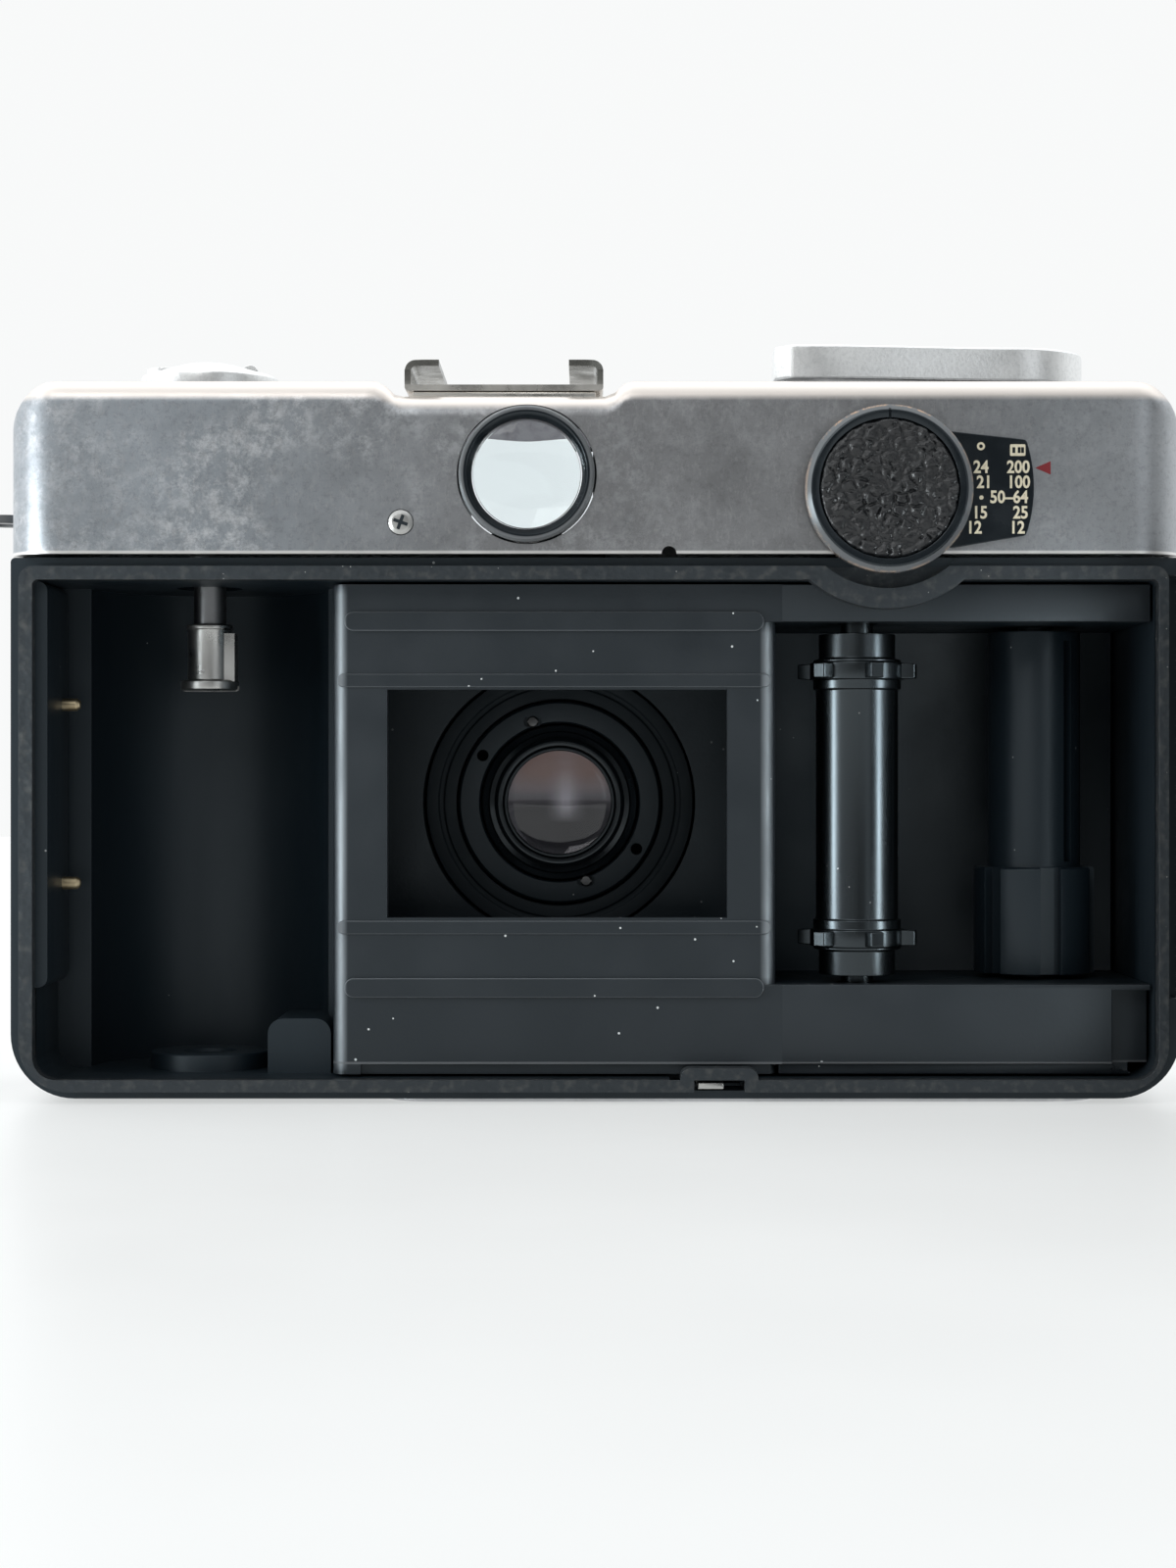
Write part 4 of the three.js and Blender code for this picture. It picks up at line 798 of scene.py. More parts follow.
def make_casting(material):
    """The tray: rounded ends, chamber walls, floor bearing and cassette stop."""
    outline = rounded_box(-BODY_SIDE, BODY_SIDE, 0.4, 56.8, 6.7, 0.5, 14)
    made = slab("body_casting", outline, BAND_Y, BODY_FRONT, "Y")
    edge = 4
    front = [(-BODY_SIDE, BAND_Y - 1), (BODY_SIDE, BAND_Y - 1)]
    front += arc(BODY_SIDE - edge, BODY_FRONT - edge, edge, 0, 90, 10)
    front += arc(edge - BODY_SIDE, BODY_FRONT - edge, edge, 90, 180, 10)
    trim(made, slab("plan", front, 0, 60))
    x0, x1, z0, z1 = CAVITY
    cut(
        made,
        slab("cavity", rounded_box(x0, x1, z0, z1, 2.4, 0.6, 8), RIM_Y - 1, 13, "Y"),
        slab("pocket", rounded_box(-22.6, 53, -14.3, 13.8, 5.3), -1, 0.9),
        disc("lens_hole", LENS, 19.8, 12, 17),
        disc("fork_hole", FORK, 3.6, 53, 58, "Z"),
        disc("sprocket_hole", SPROCKET, 2.6, 53, 58, "Z"),
        disc("bush_hole", BUSH, 5.5, -1, 3, "Z"),
        disc("release_hole", RELEASE, 2.3, -1, 3.5, "Z"),
        block("latch_slot", 7.7, 15.45, -16.1, -6, 1.24, 2.6),
        block("latch_tab_slot", 8, 15.45, -9.7, -7, -1, 2),
        block("hinge_recess", 59.4, 62, BAND_Y - 1, -12.4, 10.8, 55),
        disc("dial_dish", DIAL, DIAL_RECESS, BAND_Y - 1, BAND_Y + 0.25),
    )
    well = block("well", -59, -27.9, FORK[1], 14, 2, 55)
    cut(well, disc("roll_space", FORK, 12.9, 0, 60, "Z", 160))
    join(
        made,
        turn("bearing", [(0, 2.2), (6.4, 2.2), (6.4, 4.3), (3, 4.3), (2.6, 3.8), (0, 3.8)], FORK, soft=0.3),
        slab("stop", rounded_box(-34.8, -28.1, 2, 8.3, 0.1, 1.6, 6), -9, 3, "Y"),
        well,
        slab("lip", rounded_box(-60, -57.1, 12, 54.3, 1, steps=6), -14.9, -3, "Y"),
    )
    for low, high in ((7.6, 10), (55.2, 56.8)):
        root = BODY_SIDE - 0.6
        web = [(root, BAND_Y + 0.2), (HINGE[0] - 1.5, BAND_Y + 0.2)]
        web += arc(*HINGE, 1.5, 180, 360, 16) + [(root, HINGE[1] + 5)]
        join(made, cut(slab("knuckle", web, low, high), disc("pin_hole", HINGE, 0.9, 0, 60, "Z", 32)))
    return stand_for(soft_edges(made, 0.22), material, "body_casting")


def make_rim(material):
    """The raised ridge that fits the door's groove; it bows round the film-speed dial and over the latch."""
    x0, x1, z0, z1 = CAVITY
    made = slab("light_trap_rim", rounded_box(-59.8, 59.4, 1.25, 55.8, 5, 1.5, 14), RIM_Y, BAND_Y + 0.4, "Y")
    bow = disc("bow", DIAL, DIAL_BOW, RIM_Y, GATE_Y - 0.6)
    trim(bow, block("under_dial", DIAL[0] - 13, DIAL[0] + 13, RIM_Y - 1, GATE_Y, 50, z1 + 0.2))
    cut(made, slab("inside", rounded_box(x0, x1, z0, z1, 2.4, 0.6, 10), RIM_Y - 1, 0, "Y"))
    arch = slab("latch_arch", rounded_box(8.8, 16.85, 1.4, 3.7, 0.1, 0.95, 8), RIM_Y, -13.6, "Y")
    join(made, bow, arch)
    cut(
        made,
        disc("dial_space", DIAL, DIAL_RECESS, RIM_Y - 1, BAND_Y + 0.1),
        block("latch_mouth", 10.2, 15.45, RIM_Y - 1, -6, 1.24, 2.5),
        block("latch_travel", 7.7, 15.45, -16.1, -6, 1.24, 2.5),
    )
    return put(soft_edges(made, 0.3, segments=3), material, "camera_body", ("body_casting",))


def make_gate_frame(material):
    """The film track: a smooth face with rounded upright edges and two pairs of rails."""
    left, right, edge = -27.6, 18.9, 1.8
    face = GATE_Y - 0.005
    column = [(left, 12.7)] + arc(left + edge, face + edge, edge, 180, 270, 12)
    column += arc(right - edge, face + edge, edge, 270, 360, 12) + [(right, 12.7)]
    made = slab("film_gate_frame", column, 2.8, 54.1)
    x0, x1, z0, z1 = GATE
    join(
        made,
        block("upper_web", right - 4, right + 0.65, face, GATE_Y + 3, 50.2, 54.1),
        block("lower_web", right - 4, right + 0.65, face, GATE_Y + 3, STEP_HIGH, 12.2),
    )
    cut(
        made,
        block("step", left + 3, right + 1, GATE_Y - 1, GATE_Y + 0.5, 0, STEP_HIGH),
        block("gate", x0, x1, GATE_Y - 1, GATE_Y + 3, z0, z1),
        block("chamber", left + 3, right - 3, GATE_Y + 1.6, 6.6, 15.5, 46.8),
        disc("baffle_hole", LENS, 15.2, 6, 8),
        disc("barrel_hole", LENS, 18.6, 7.6, 14),
        disc("bush_hole", BUSH, 5.5, 0, 6.8, "Z"),
    )
    soft_edges(made, 0.16)
    stand_for(made, material, "film_gate_frame")
    for name, z, height, inset, proud in (
        ("inner_rail_upper", LENS[1] + 12.9, 1.42, 0.5, 0.25),
        ("inner_rail_lower", LENS[1] - 12.96, 1.42, 0.5, 0.25),
        ("outer_rail_upper", LENS[1] + 19.09, 2.04, 1.3, 0.45),
        ("outer_rail_lower", LENS[1] - 19.27, 2.04, 1.3, 0.45),
    ):
        half = height / 2
        outline = rounded_box(left + inset, right - inset, z - half, z + half, half * 0.96, steps=8)
        rail = slab(name, outline, GATE_Y - proud, GATE_Y + 0.2, "Y")
        put(soft_edges(rail, 0.16), material, "camera_body", ("film_gate_frame",))


# ---- Top cover and what is fixed to it ---------------------------------------------------------


def swell(x, low, high, width):
    """A smooth 0 to 1 step up at low and down again at high, each as wide as given."""

    def step(t):
        t = min(max(t, 0), 1)
        return t * t * (3 - 2 * t)

    return step((x - low) / width + 0.5) * step((high - x) / width + 0.5)


def cover_rows(inset, top, side_fillet, end_fillet):
    """Rows of points up the cover's wall and round its top edge, whose radius grows towards the ends."""
    x, y, corner = 61.3 - inset, 16.6 - inset, 5.5 - inset
    steps = CORNER_STEPS
    back = arc(-x + corner, -y + corner, corner, 180, 270, steps)
    count = 112
    back = [(-x, 0), (-x, -y * 0.35)] + back
    back += [(-x + corner + (2 * x - 2 * corner) * k / count, -y) for k in range(1, count)]
    back += arc(x - corner, -y + corner, corner, 270, 360, steps) + [(x, -y * 0.35), (x, 0)]
    normals = []
    for u, v in back:
        centre = Vector((max(-x + corner, min(u, x - corner)), max(-y + corner, min(v, y - corner))))
        at_end = abs(u) > x - corner or v < -y + 1e-6
        normals.append((Vector((u, v)) - centre).normalized() if at_end else Vector((0, -1)))
    rows = [[(u, v, COVER_LOW) for u, v in back], [(u, v, 64) for u, v in back]]
    turns = 9
    for k in range(-1, turns + 1):
        t = QUARTER * max(k, 0) / turns
        row = []
        for (u, v), n in zip(back, normals):
            r = side_fillet + (end_fillet - side_fillet) * abs(n.x) ** 2
            inward = r * (1 - math.cos(t))
            dip = 1.6 * swell(u, -21.6, 2.4, 2.4)
            height = r * math.sin(t) if k >= 0 else -0.25
            row.append((u - n.x * inward, v - n.y * inward, top - r + height - dip))
        rows.append(row)
    return rows


def make_top_cover(material):
    """A pressed shell, 1 mm thick, with a soft top edge and a dip for the accessory shoe."""
    vertices, faces = [], []

    def skin(rows):
        start = len(vertices)
        count = len(rows[0])
        loop = 2 * count - 2
        for row in rows:
            mirrored = [(x, -y, z) for x, y, z in reversed(row[1:-1])]
            vertices.extend(row + mirrored)
        for i in range(len(rows) - 1):
            for k in range(loop):
                n = (k + 1) % loop
                a, b = start + i * loop, start + (i + 1) * loop
                faces.append((a + k, a + n, b + n, b + k))
        lid = start + (len(rows) - 1) * loop
        flat_end = CORNER_STEPS + 2
        for k in range(flat_end, count - 1 - flat_end):
            faces.append((lid + k, lid + k + 1, lid + loop - k - 1, lid + loop - k))
        faces.append(tuple(lid + k % loop for k in range(-flat_end, flat_end + 1)))
        faces.append(tuple(lid + k for k in range(count - 1 - flat_end, count + flat_end)))
        return start, loop

    outer, loop = skin(cover_rows(0, COVER_TOP, 2.3, 5.0))
    inner, _ = skin(cover_rows(1, COVER_TOP - 1, 1.3, 4.0))
    for k in range(loop):
        n = (k + 1) % loop
        faces.append((outer + k, outer + n, inner + n, inner + k))
    made = new_object("top_cover", vertices, faces)
    cut(
        made,
        disc("eye_hole", EYE, 7.25, COVER_BACK - 1, COVER_BACK + 3),
        disc("dial_hole", DIAL, 2.4, COVER_BACK - 1, COVER_BACK + 3),
        disc("screw_hole", COVER_SCREW, 1.36, COVER_BACK - 1, COVER_BACK + 0.6),
        disc("notch", (7.6, COVER_LOW), 0.78, COVER_BACK - 1, COVER_BACK + 3),
        disc("knob_hole", FORK, 2.6, 72, 77, "Z"),
        disc("lever_hole", LEVER, 3.2, 72, 77, "Z"),
        disc("button_hole", BUTTON, 3, 72, 77, "Z"),
        disc("counter_hole", COUNTER, 2.9, 72, 77, "Z"),
        block("finder_opening", EYE[0] - 8.3, EYE[0] + 8.3, 13, 18, 58.6, 72),
        block("meter_opening", METER_X - 19, METER_X + 19, 13, 18, 60, 72),
    )
    soft_edges(made, 0.14, angle=40)
    return stand_for(made, material, "top_cover")


def make_cover_screw(material, dark):
    """Cross-head screw that holds the cover at the back."""
    (x, z), y = COVER_SCREW, COVER_BACK
    profile = [(0, y + 1.6), (0.7, y + 1.6), (0.7, y + 0.5), (1.28, y + 0.5), (1.28, y - 0.12)]
    profile += [(0.9, y - 0.34), (0, y - 0.42)]
    made = turn("cover_screw", profile, COVER_SCREW, "Y", 64, 0.12)
    # painted shade: the cross slot is a dark cross laid on the head, not cut into it
    cross = []
    for angle in (20, 110):
        bar = block("bar", -0.78, 0.78, y - 0.45, y + 0.3, -0.17, 0.17)
        moved(bar.data, (("Y", angle),), (x, 0, z))
        cross.append(bar)
    put(soft_edges(made, 0.05), material, "camera_body")
    put(soft_edges(join(*cross), 0.03), dark, "camera_body")


def make_shoe(material):
    """The shoe's channel, from one bent sheet, with a stop at its front."""
    sheet, half, z0, z1, lip = 0.65, 10.4, SHOE_FLOOR, 77.6, 3.6
    left, right = SHOE_X - half, SHOE_X + half
    outer = [(left + lip, z1 - sheet), (left + lip, z1)]
    outer += arc(left + 1.1, z1 - 1.1, 1.1, 90, 180, 8) + arc(left + 0.4, z0 + 0.4, 0.4, 180, 270, 4)
    outer += arc(right - 0.4, z0 + 0.4, 0.4, 270, 360, 4) + arc(right - 1.1, z1 - 1.1, 1.1, 0, 90, 8)
    outer += [(right - lip, z1), (right - lip, z1 - sheet)]
    inner = arc(right - sheet - 0.5, z1 - sheet - 0.5, 0.5, 90, 0, 6) + [(right - sheet, z0 + sheet)]
    inner += [(left + sheet, z0 + sheet)] + arc(left + sheet + 0.5, z1 - sheet - 0.5, 0.5, 180, 90, 6)
    made = slab("accessory_shoe", outer + inner, -13.5, 4.5, "Y")
    flare = [(left - 1, -15), (right + 1, -15), (right + 1, -12.9)]
    flare += [(right - lip + 1.2, -13.6), (left + lip - 1.2, -13.6), (left - 1, -12.9)]
    cut(made, slab("flare", flare, z1 - 1, z1 + 1))
    join(made, block("stop", SHOE_X - 4, SHOE_X + 4, 3.8, 4.5, z0 + 0.2, z0 + 2))
    return stand_for(soft_edges(made, 0.12), material, "accessory_shoe")


def make_eyepiece(ring_material, lens_material, mask_material):
    y = COVER_BACK
    r, bore = 7.05, 5.75
    profile = [(bore, y - 0.3), (6.3, y - 0.95), (6.8, y - 0.95), (r, y - 0.6), (r, y + 2), (bore, y + 2)]
    profile.append(profile[0])
    turned("eyepiece_ring", profile, EYE, ring_material, "Y", 128, 0.12)
    glass = [(0, y + 0.25), (3, y + 0.3), (5.6, y + 0.45), (5.6, y + 1.7), (0, y + 1.7)]
    turned("eyepiece_lens", glass, EYE, lens_material, "Y", 96, 0.08)
    # a grey mask inside the finder, whose painted glow stands for the light seen through it
    mask = block("finder_mask", EYE[0] - 6.6, EYE[0] + 6.6, -5, -4.7, EYE[1] + 4.05, EYE[1] + 6.4)
    put(soft_edges(mask, 0.1), mask_material, "camera_body")


def make_front_windows(bezel_material, glass_material, meter_material):
    """The honeycomb light-meter window: a plate with rows of small domes."""
    low, high = span("meter_window")
    made = block("meter_window", low.x, high.x, low.y, high.y - 0.35, low.z, high.z)
    vertices, faces = [], []
    pitch = 1.75
    row, z = 0, low.z + 1.2
    while z < high.z - 0.8:
        x = low.x + 1.4 + (pitch / 2 if row % 2 else 0)
        while x < high.x - 1.2:
            start = len(vertices)
            for ring, (r, y) in enumerate(((0.98, -0.4), (0.9, -0.2), (0.62, -0.06), (0.3, 0))):
                for k in range(6):
                    t = math.radians(60 * k + 30)
                    vertices.append((x + r * math.cos(t), high.y + y, z + r * math.sin(t)))
                    if ring:
                        a = start + (ring - 1) * 6
                        faces.append((a + k, a + (k + 1) % 6, a + 6 + (k + 1) % 6, a + 6 + k))
            faces.append(tuple(start + 18 + k for k in range(6)))
            x += pitch
        z += pitch * 0.866
        row += 1
    domes = new_object("meter_domes", vertices, faces)
    put(smooth(domes, 60), glass_material, "camera_body", ("meter_window",))
    stand_for(soft_edges(made, 0.1), glass_material, "meter_window")
    keep("front_window_bezel", bezel_material, 0.2)
    keep("viewfinder_front_lens", glass_material, 0.1)
    keep("meter_cell", meter_material, 0.1)


# ---- Film-speed dial ---------------------------------------------------------------------------


def make_dial(ring_material, disc_material):
    """A black dial with a bevelled rim, notched once for its index, round a leatherette disc."""
    x, z = DIAL
    y, r = COVER_BACK, 8.65
    profile = [
        (0, y - 1.9), (7.15, y - 1.9), (7.22, y - 2.62), (7.9, y - 2.68), (8.05, y - 2.64), (r, y - 2.1),
        (r, y - 0.8), (6, y - 0.8), (6, y - 0.15), (2.1, y - 0.15), (2.1, y + 3.4), (0, y + 3.4),
    ]
    ring = turn("film_speed_dial", profile, DIAL, "Y", 180, 0.1)
    cut(ring, block("index", x - 0.13, x + 0.13, y - 4, y - 2.45, z + 7, z + 9))
    stand_for(smooth(ring), ring_material, "film_speed_dial")
    make_grained_disc("film_speed_disc", DIAL, 7.14, y - 2.0, y - 2.62, disc_material)


GRAIN_SEED = 5


def make_grained_disc(name, centre, radius, base, face, material):
    """A disc of leatherette whose face has a pebbled, wrinkled relief."""
    noise.seed_set(GRAIN_SEED)  # without a seed, noise_vector is shifted by the clock at every run
    rings, around = 60, 260
    vertices, faces = [], []

    def relief(x, z):
        point = Vector((x, z * 1.15, 3.7))
        point += 0.35 * noise.noise_vector(point * 0.9)
        pebble = noise.voronoi(point * 0.72, distance_metric="DISTANCE")[0]
        ridge = min((pebble[1] - pebble[0]) * 2.2, 1)
        fine = noise.voronoi(point * 2.1, distance_metric="DISTANCE")[0]
        return 0.36 * ridge + 0.06 * min((fine[1] - fine[0]) * 2.5, 1) + 0.08 * noise.noise(point * 1.3)

    vertices.append((centre[0], face - relief(*centre), centre[1]))
    for i in range(1, rings + 1):
        r = radius * i / rings
        for k in range(around):
            t = 2 * math.pi * k / around
            x, z = centre[0] + r * math.cos(t), centre[1] + r * math.sin(t)
            fall = max(0, (r - radius + 0.35) / 0.35) ** 2 * 0.35
            vertices.append((x, face - relief(x, z) + fall, z))
    for k in range(around):
        n = (k + 1) % around
        faces.append((0, 1 + k, 1 + n))
        for i in range(rings - 1):
            a = 1 + i * around
            faces.append((a + k, a + around + k, a + around + n, a + n))
    last = 1 + (rings - 1) * around
    start = len(vertices)
    edge = arc(*centre, radius, 0, 360 * (1 - 1 / around), around - 1)
    vertices += [(x, base, z) for x, z in edge]
    faces += [(last + k, start + k, start + (k + 1) % around, last + (k + 1) % around) for k in range(around)]
    faces.append(tuple(range(start, start + around)))
    return stand_for(smooth(new_object(name, vertices, faces), 70), material, name)


SPEEDS = (
    (2.3, "24", 9.6, "200", 13.46),
    (0.75, "21", 9.94, "100", 13.5),
    (-0.8, "", 0, "50–64", 12.5),
    (-2.4, "15", 9.5, "25", 13.7),
    (-3.95, "12", 8.9, "12", 13.35),
)


def make_speed_plate(material, ink):
    """The plate beside the dial with two columns of film speeds."""
    x, z = DIAL
    y = COVER_BACK
    curve = [(x + 15.1 - 0.8 * ((k - 6) / 6) ** 2, z + 5.2 - 9.9 * k / 12) for k in range(13)]
    outline = soften([(x + 6.15, z + 6.1)] + curve + [(x + 6.15, z - 6.1)], 0.5, closed=True)
    made = slab("film_speed_plate", outline, y - 0.62, y - 0.12, "Y")
    cut(made, disc("dial_arc", DIAL, 6.3, y - 1, y))
    stand_for(soft_edges(made, 0.1), material, "film_speed_plate")
    for row, (dz, left, left_dx, right, right_dx) in enumerate(SPEEDS):
        for column, text, dx in ((0, left, left_dx), (1, right, right_dx)):
            if text:
                place = (x + dx, y - 0.63, z + dz)
                lettering(f"speed_{row}_{column}", text, place, ink, "film_speed_dial")
    flat = (y - 0.66, y - 0.6)
    dot = disc("speed_dot", (x + 9.65, z - 0.8), 0.22, *flat, segments=18)
    degree = disc("speed_degree", (x + 9.6, z + 4.5), 0.42, *flat, segments=18)
    cut(degree, disc("degree_hole", (x + 9.6, z + 4.5), 0.2, y - 1, y, segments=18))
    film = slab("speed_film", rounded_box(x + 12.6, x + 14.2, z + 3.5, z + 4.7, 0.12, steps=3), *flat, "Y")
    for dx in (12.85, 13.4, 13.75):
        cut(film, block("hole", x + dx, x + dx + 0.3, y - 1, y, z + 3.8, z + 4.4))
    for mark in (dot, degree, film):
        put(mark, ink, "film_speed_dial")


# ---- Rewind and winding controls ---------------------------------------------------------------


def toothed(name, centre, r, depth, count, low, high, axis="Z"):
    """A ring of fine upright grooves, as an outline given a thickness."""
    outline = []
    for k in range(count):
        for share, radius in ((0.12, r - depth), (0.36, r - depth), (0.52, r), (0.96, r)):
            t = 2 * math.pi * (k + share) / count
            outline.append((centre[0] + radius * math.cos(t), centre[1] + radius * math.sin(t)))
    return slab(name, outline, low, high, axis)


def make_rewind(knob_material, crank_material, shaft_material, fork_material, brass_material):
    x, y = FORK
    low, shoulder, high, r = 75.5, 77.1, 78.6, 7.5
    dome = [(0, low), (r - 0.4, low), (r, low + 0.35), (r, shoulder), (r - 0.6, shoulder + 0.3)]
    dome += [(3, high), (0, high)]
    made = turn("rewind_knob", dome, FORK, soft=0.35)
    cut(made, block("bed", x - 9, x + 6.5, y - 2.5, y + 2.5, high - 2, high + 1))
    stand_for(soft_edges(made, 0.1), knob_material, "rewind_knob")
    axis_x, axis_z, half = x + 4.6, 77.6, 2.1
    outline = arc(x - 4.7, y, half, 90, 270, 16) + [(axis_x + 0.5, y - half), (axis_x + 0.5, y + half)]
    arm = slab("rewind_crank", outline, axis_z - 0.6, axis_z + 0.6)
    join(arm, slab("barrel", arc(axis_x, axis_z, 0.85, 0, 350, 35), y - half, y + half, "Y"))
    slot = arc(x - 2.7, y, 0.9, 90, 270, 12) + arc(x + 0.5, y, 0.9, 270, 450, 12)
    cut(arm, slab("slot", slot, 70, 80))
    stand_for(soft_edges(arm, 0.16), crank_material, "rewind_crank")
    shaft = [(0, 45.3), (1.2, 45.3), (1.2, 50.4), (1.75, 50.5), (1.75, 57.2), (2.2, 57.2)]
    shaft += [(2.2, COVER_TOP), (0, COVER_TOP)]
    turned("rewind_shaft", shaft, FORK, shaft_material)
    fork = [
        (0, 43.3), (2.9, 43.3), (3.15, 43.5), (3.15, 44.3), (2.9, 44.45), (2.35, 44.5), (2.35, 49.9),
        (2.5, 50.0), (2.5, 50.35), (2.3, 50.5), (1.8, 50.5), (1.5, 44.7), (0, 44.7),
    ]
    fork = turn("rewind_fork", fork, FORK, soft=0.08)
    join(fork, block("key", x + 1.2, x + 2.85, y - 1.6, y + 1.6, 44.3, 49.5))
    cut(fork, block("cross", x - 4, x + 4, y - 0.6, y + 0.6, 42.8, 43.8))
    stand_for(soft_edges(fork, 0.06), fork_material, "rewind_fork")
    collar = [(2.5, 60), (4.2, 60), (4.2, 62), (2.5, 62), (2.5, 60)]
    turned("rewind_lift_collar", collar, FORK, brass_material)


def bezier(start, first, second, end, steps):
    points = [Vector(p) for p in (start, first, second, end)]
    result = []
    for k in range(1, steps + 1):
        t = k / steps
        weights = ((1 - t) ** 3, 3 * t * (1 - t) ** 2, 3 * t * t * (1 - t), t**3)
        result.append(tuple(sum((w * p for w, p in zip(weights, points)), Vector((0, 0)))))
    return result


def make_winding(lever_material, cap_material):
    """The lever: a blade with bevelled edges, a round hub and a tip with a facet at its back."""
    x, y = LEVER
    hub, tip = 8, x - 26
    low, high = 76.1, 79.7
    outline = arc(x, y, hub, -90, 90, 36)
    outline += bezier((x, y + hub), (x - 7, y + hub), (x - 10, y - 1.6), (x - 16, y - 2.6), 24)
    outline += [(tip + 1, y - 3.4), (tip, y - 4.4), (tip, y - 8.4), (tip + 1.7, y - 10.2)]
    outline += bezier((tip + 1.7, y - 10.2), (x - 16, y - 10.6), (x - 8, y - hub), (x, y - hub), 28)[:-1]
    made = slab("winding_lever", outline, low, high)
    cut(made, disc("cap_seat", LEVER, 5, high - 0.8, 90, "Z"))
    soft_edges(made, 0.32, segments=3)
    shaft = disc("lever_shaft", LEVER, 2.8, 70, low + 0.4, "Z", 64)
    put(smooth(shaft), cap_material, "winding_lever", ("winding_lever",))
    stand_for(made, lever_material, "winding_lever")
    z = high - 0.7
    profile = [(0, z), (4.7, z), (4.7, z + 0.6), (3.9, z + 1.1), (0, z + 1.1)]
    cap = turn("lever_cap", profile, LEVER, soft=0.15)
    cut(cap, block("slot", x - 2.6, x + 2.6, y - 0.35, y + 0.35, z + 0.6, z + 2))
    stand_for(soft_edges(cap, 0.06), cap_material, "lever_cap")


def make_release(collar_material, button_material):
    z, bore = COVER_TOP, 3.3
    collar = [(bore, z + 0.05), (4.9, z + 0.05), (4.9, z + 0.8), (4.4, z + 1.2), (bore, z + 1.2)]
    collar.append(collar[0])
    turned("release_collar", collar, BUTTON, collar_material, soft=0.15)
    top, r = 78, 2.7
    button = [(0, 68), (1.4, 68), (1.4, 73), (r, 73), (r, top - 0.4), (r - 0.4, top)]
    button += [(0.9, top - 0.15), (0.7, top - 1), (0, top - 1)]
    turned("release_button", button, BUTTON, button_material, soft=0.15)


def make_counter(disc_material, glass_material, ink):
    """The frame counter's disc, with marks that show through its small window."""
    top = 72.7
    profile = [(0, 69), (1, 69), (1, 71.9), (5.8, 71.9), (5.8, top), (0, top)]
    turned("counter_disc", profile, COUNTER, disc_material)
    window = [(0, 74.4), (2.6, 74.4), (2.6, 74.95), (1.6, 75.1), (0, 75.15)]
    turned("counter_window", window, COUNTER, glass_material)
    centre = Vector((*COUNTER, top + 0.02))
    vertices, faces = [], []
    for k in range(36):
        t = math.radians(10 * k)
        across = Vector((-math.sin(t), math.cos(t), 0)) * 0.09
        along = Vector((math.cos(t), math.sin(t), 0))
        near, far = centre + along * (4.1 if k % 5 else 3.6), centre + along * 5
        vertices += [near - across, far - across, far + across, near + across]
        faces.append(tuple(range(4 * k, 4 * k + 4)))
    put(new_object("counter_marks", vertices, faces), ink, "frame_counter")


# ---- Film transport ----------------------------------------------------------------------------


def make_sprocket(material):
    """Shaft, collars and two discs of six blunt teeth that take the film's holes."""
    middle_z, row = LENS[1] - 0.1, 14.1
    half = [
        (4.35, 0), (4.35, row - 2.0), (4.65, row - 1.9), (4.65, row - 0.95), (5.0, row - 0.88),
        (5.0, row + 0.88), (4.65, row + 0.95), (4.65, row + 1.2), (4.05, row + 1.35), (4.05, row + 3.9),
        (1.7, row + 4), (1.7, row + 6.4), (0, row + 6.4),
    ]
    profile = [(r, middle_z - h) for r, h in reversed(half[1:])] + [(r, middle_z + h) for r, h in half[1:]]
    turned("film_sprocket", profile, SPROCKET, material, soft=0.12)
    sections = ((3.6, 0.95, 0.82), (4.9, 0.92, 0.82), (5.9, 0.8, 0.8), (6.3, 0.72, 0.78))
    for name, z in (("teeth_upper", middle_z + row), ("teeth_lower", middle_z - row)):
        vertices, faces = [], []
        centre = Vector((*SPROCKET, z))
        for k in range(6):
            t = math.radians(60 * k - 15)
            along, across = Vector((math.cos(t), math.sin(t), 0)), Vector((-math.sin(t), math.cos(t), 0))
            start = len(vertices)
            for r, half_w, half_h in sections:
                for a, b in ((-1, -1), (1, -1), (1, 1), (-1, 1)):
                    vertices.append(centre + along * r + across * half_w * a + Vector((0, 0, half_h * b)))
            for i in range(3):
                for j in range(4):
                    a = start + i * 4
                    faces.append((a + j, a + (j + 1) % 4, a + 4 + (j + 1) % 4, a + 4 + j))
            faces += [tuple(start + j for j in range(4)), tuple(start + 12 + j for j in range(4))]
        teeth = soft_edges(new_object(name, vertices, faces), 0.14, segments=3)
        put(teeth, material, "film_sprocket", ("film_sprocket",))


def make_spool(material):
    """A slit core for the film's end, with a wider slotted collar below."""
    pin, core_r, collar_r = 1.7, 5, 6.5
    profile = [(0, 10), (pin, 10), (pin, 12.7), (collar_r, 12.7), (collar_r, 24.0), (6.3, 24.2)]
    profile += [(core_r, 24.2), (core_r, 49.7), (pin, 49.7), (pin, 52.4), (0, 52.4)]
    made = turn("takeup_spool", profile, SPOOL, segments=128, soft=0.15)
    slit = block("film_slit", -0.5, 0.5, -8, -2.4, 24.8, 48.7)
    moved(slit.data, (("Z", 37),), (*SPOOL, 0))
    cutters = [slit]
    for k in range(6):
        gap = slab("gap", rounded_box(-1.15, 1.15, 12, 26, 0.7, steps=5), -8, -5.2, "Y")
        moved(gap.data, (("Z", 60 * k + 8),), (*SPOOL, 0))
        cutters.append(gap)
    cut(made, *cutters)
    stand_for(soft_edges(made, 0.16, segments=3), material, "takeup_spool")


def make_pins(material):
    profile = [(0, -58.3), (0.68, -58.3), (0.68, -55.6), (0.42, -55.2), (0, -55.15)]
    for node, z in (("cassette_pin_upper", 41.7), ("cassette_pin_lower", 22.6)):
        turned(node, profile, (-6, z), material, "X", 48)


# ---- Lens and shutter --------------------------------------------------------------------------


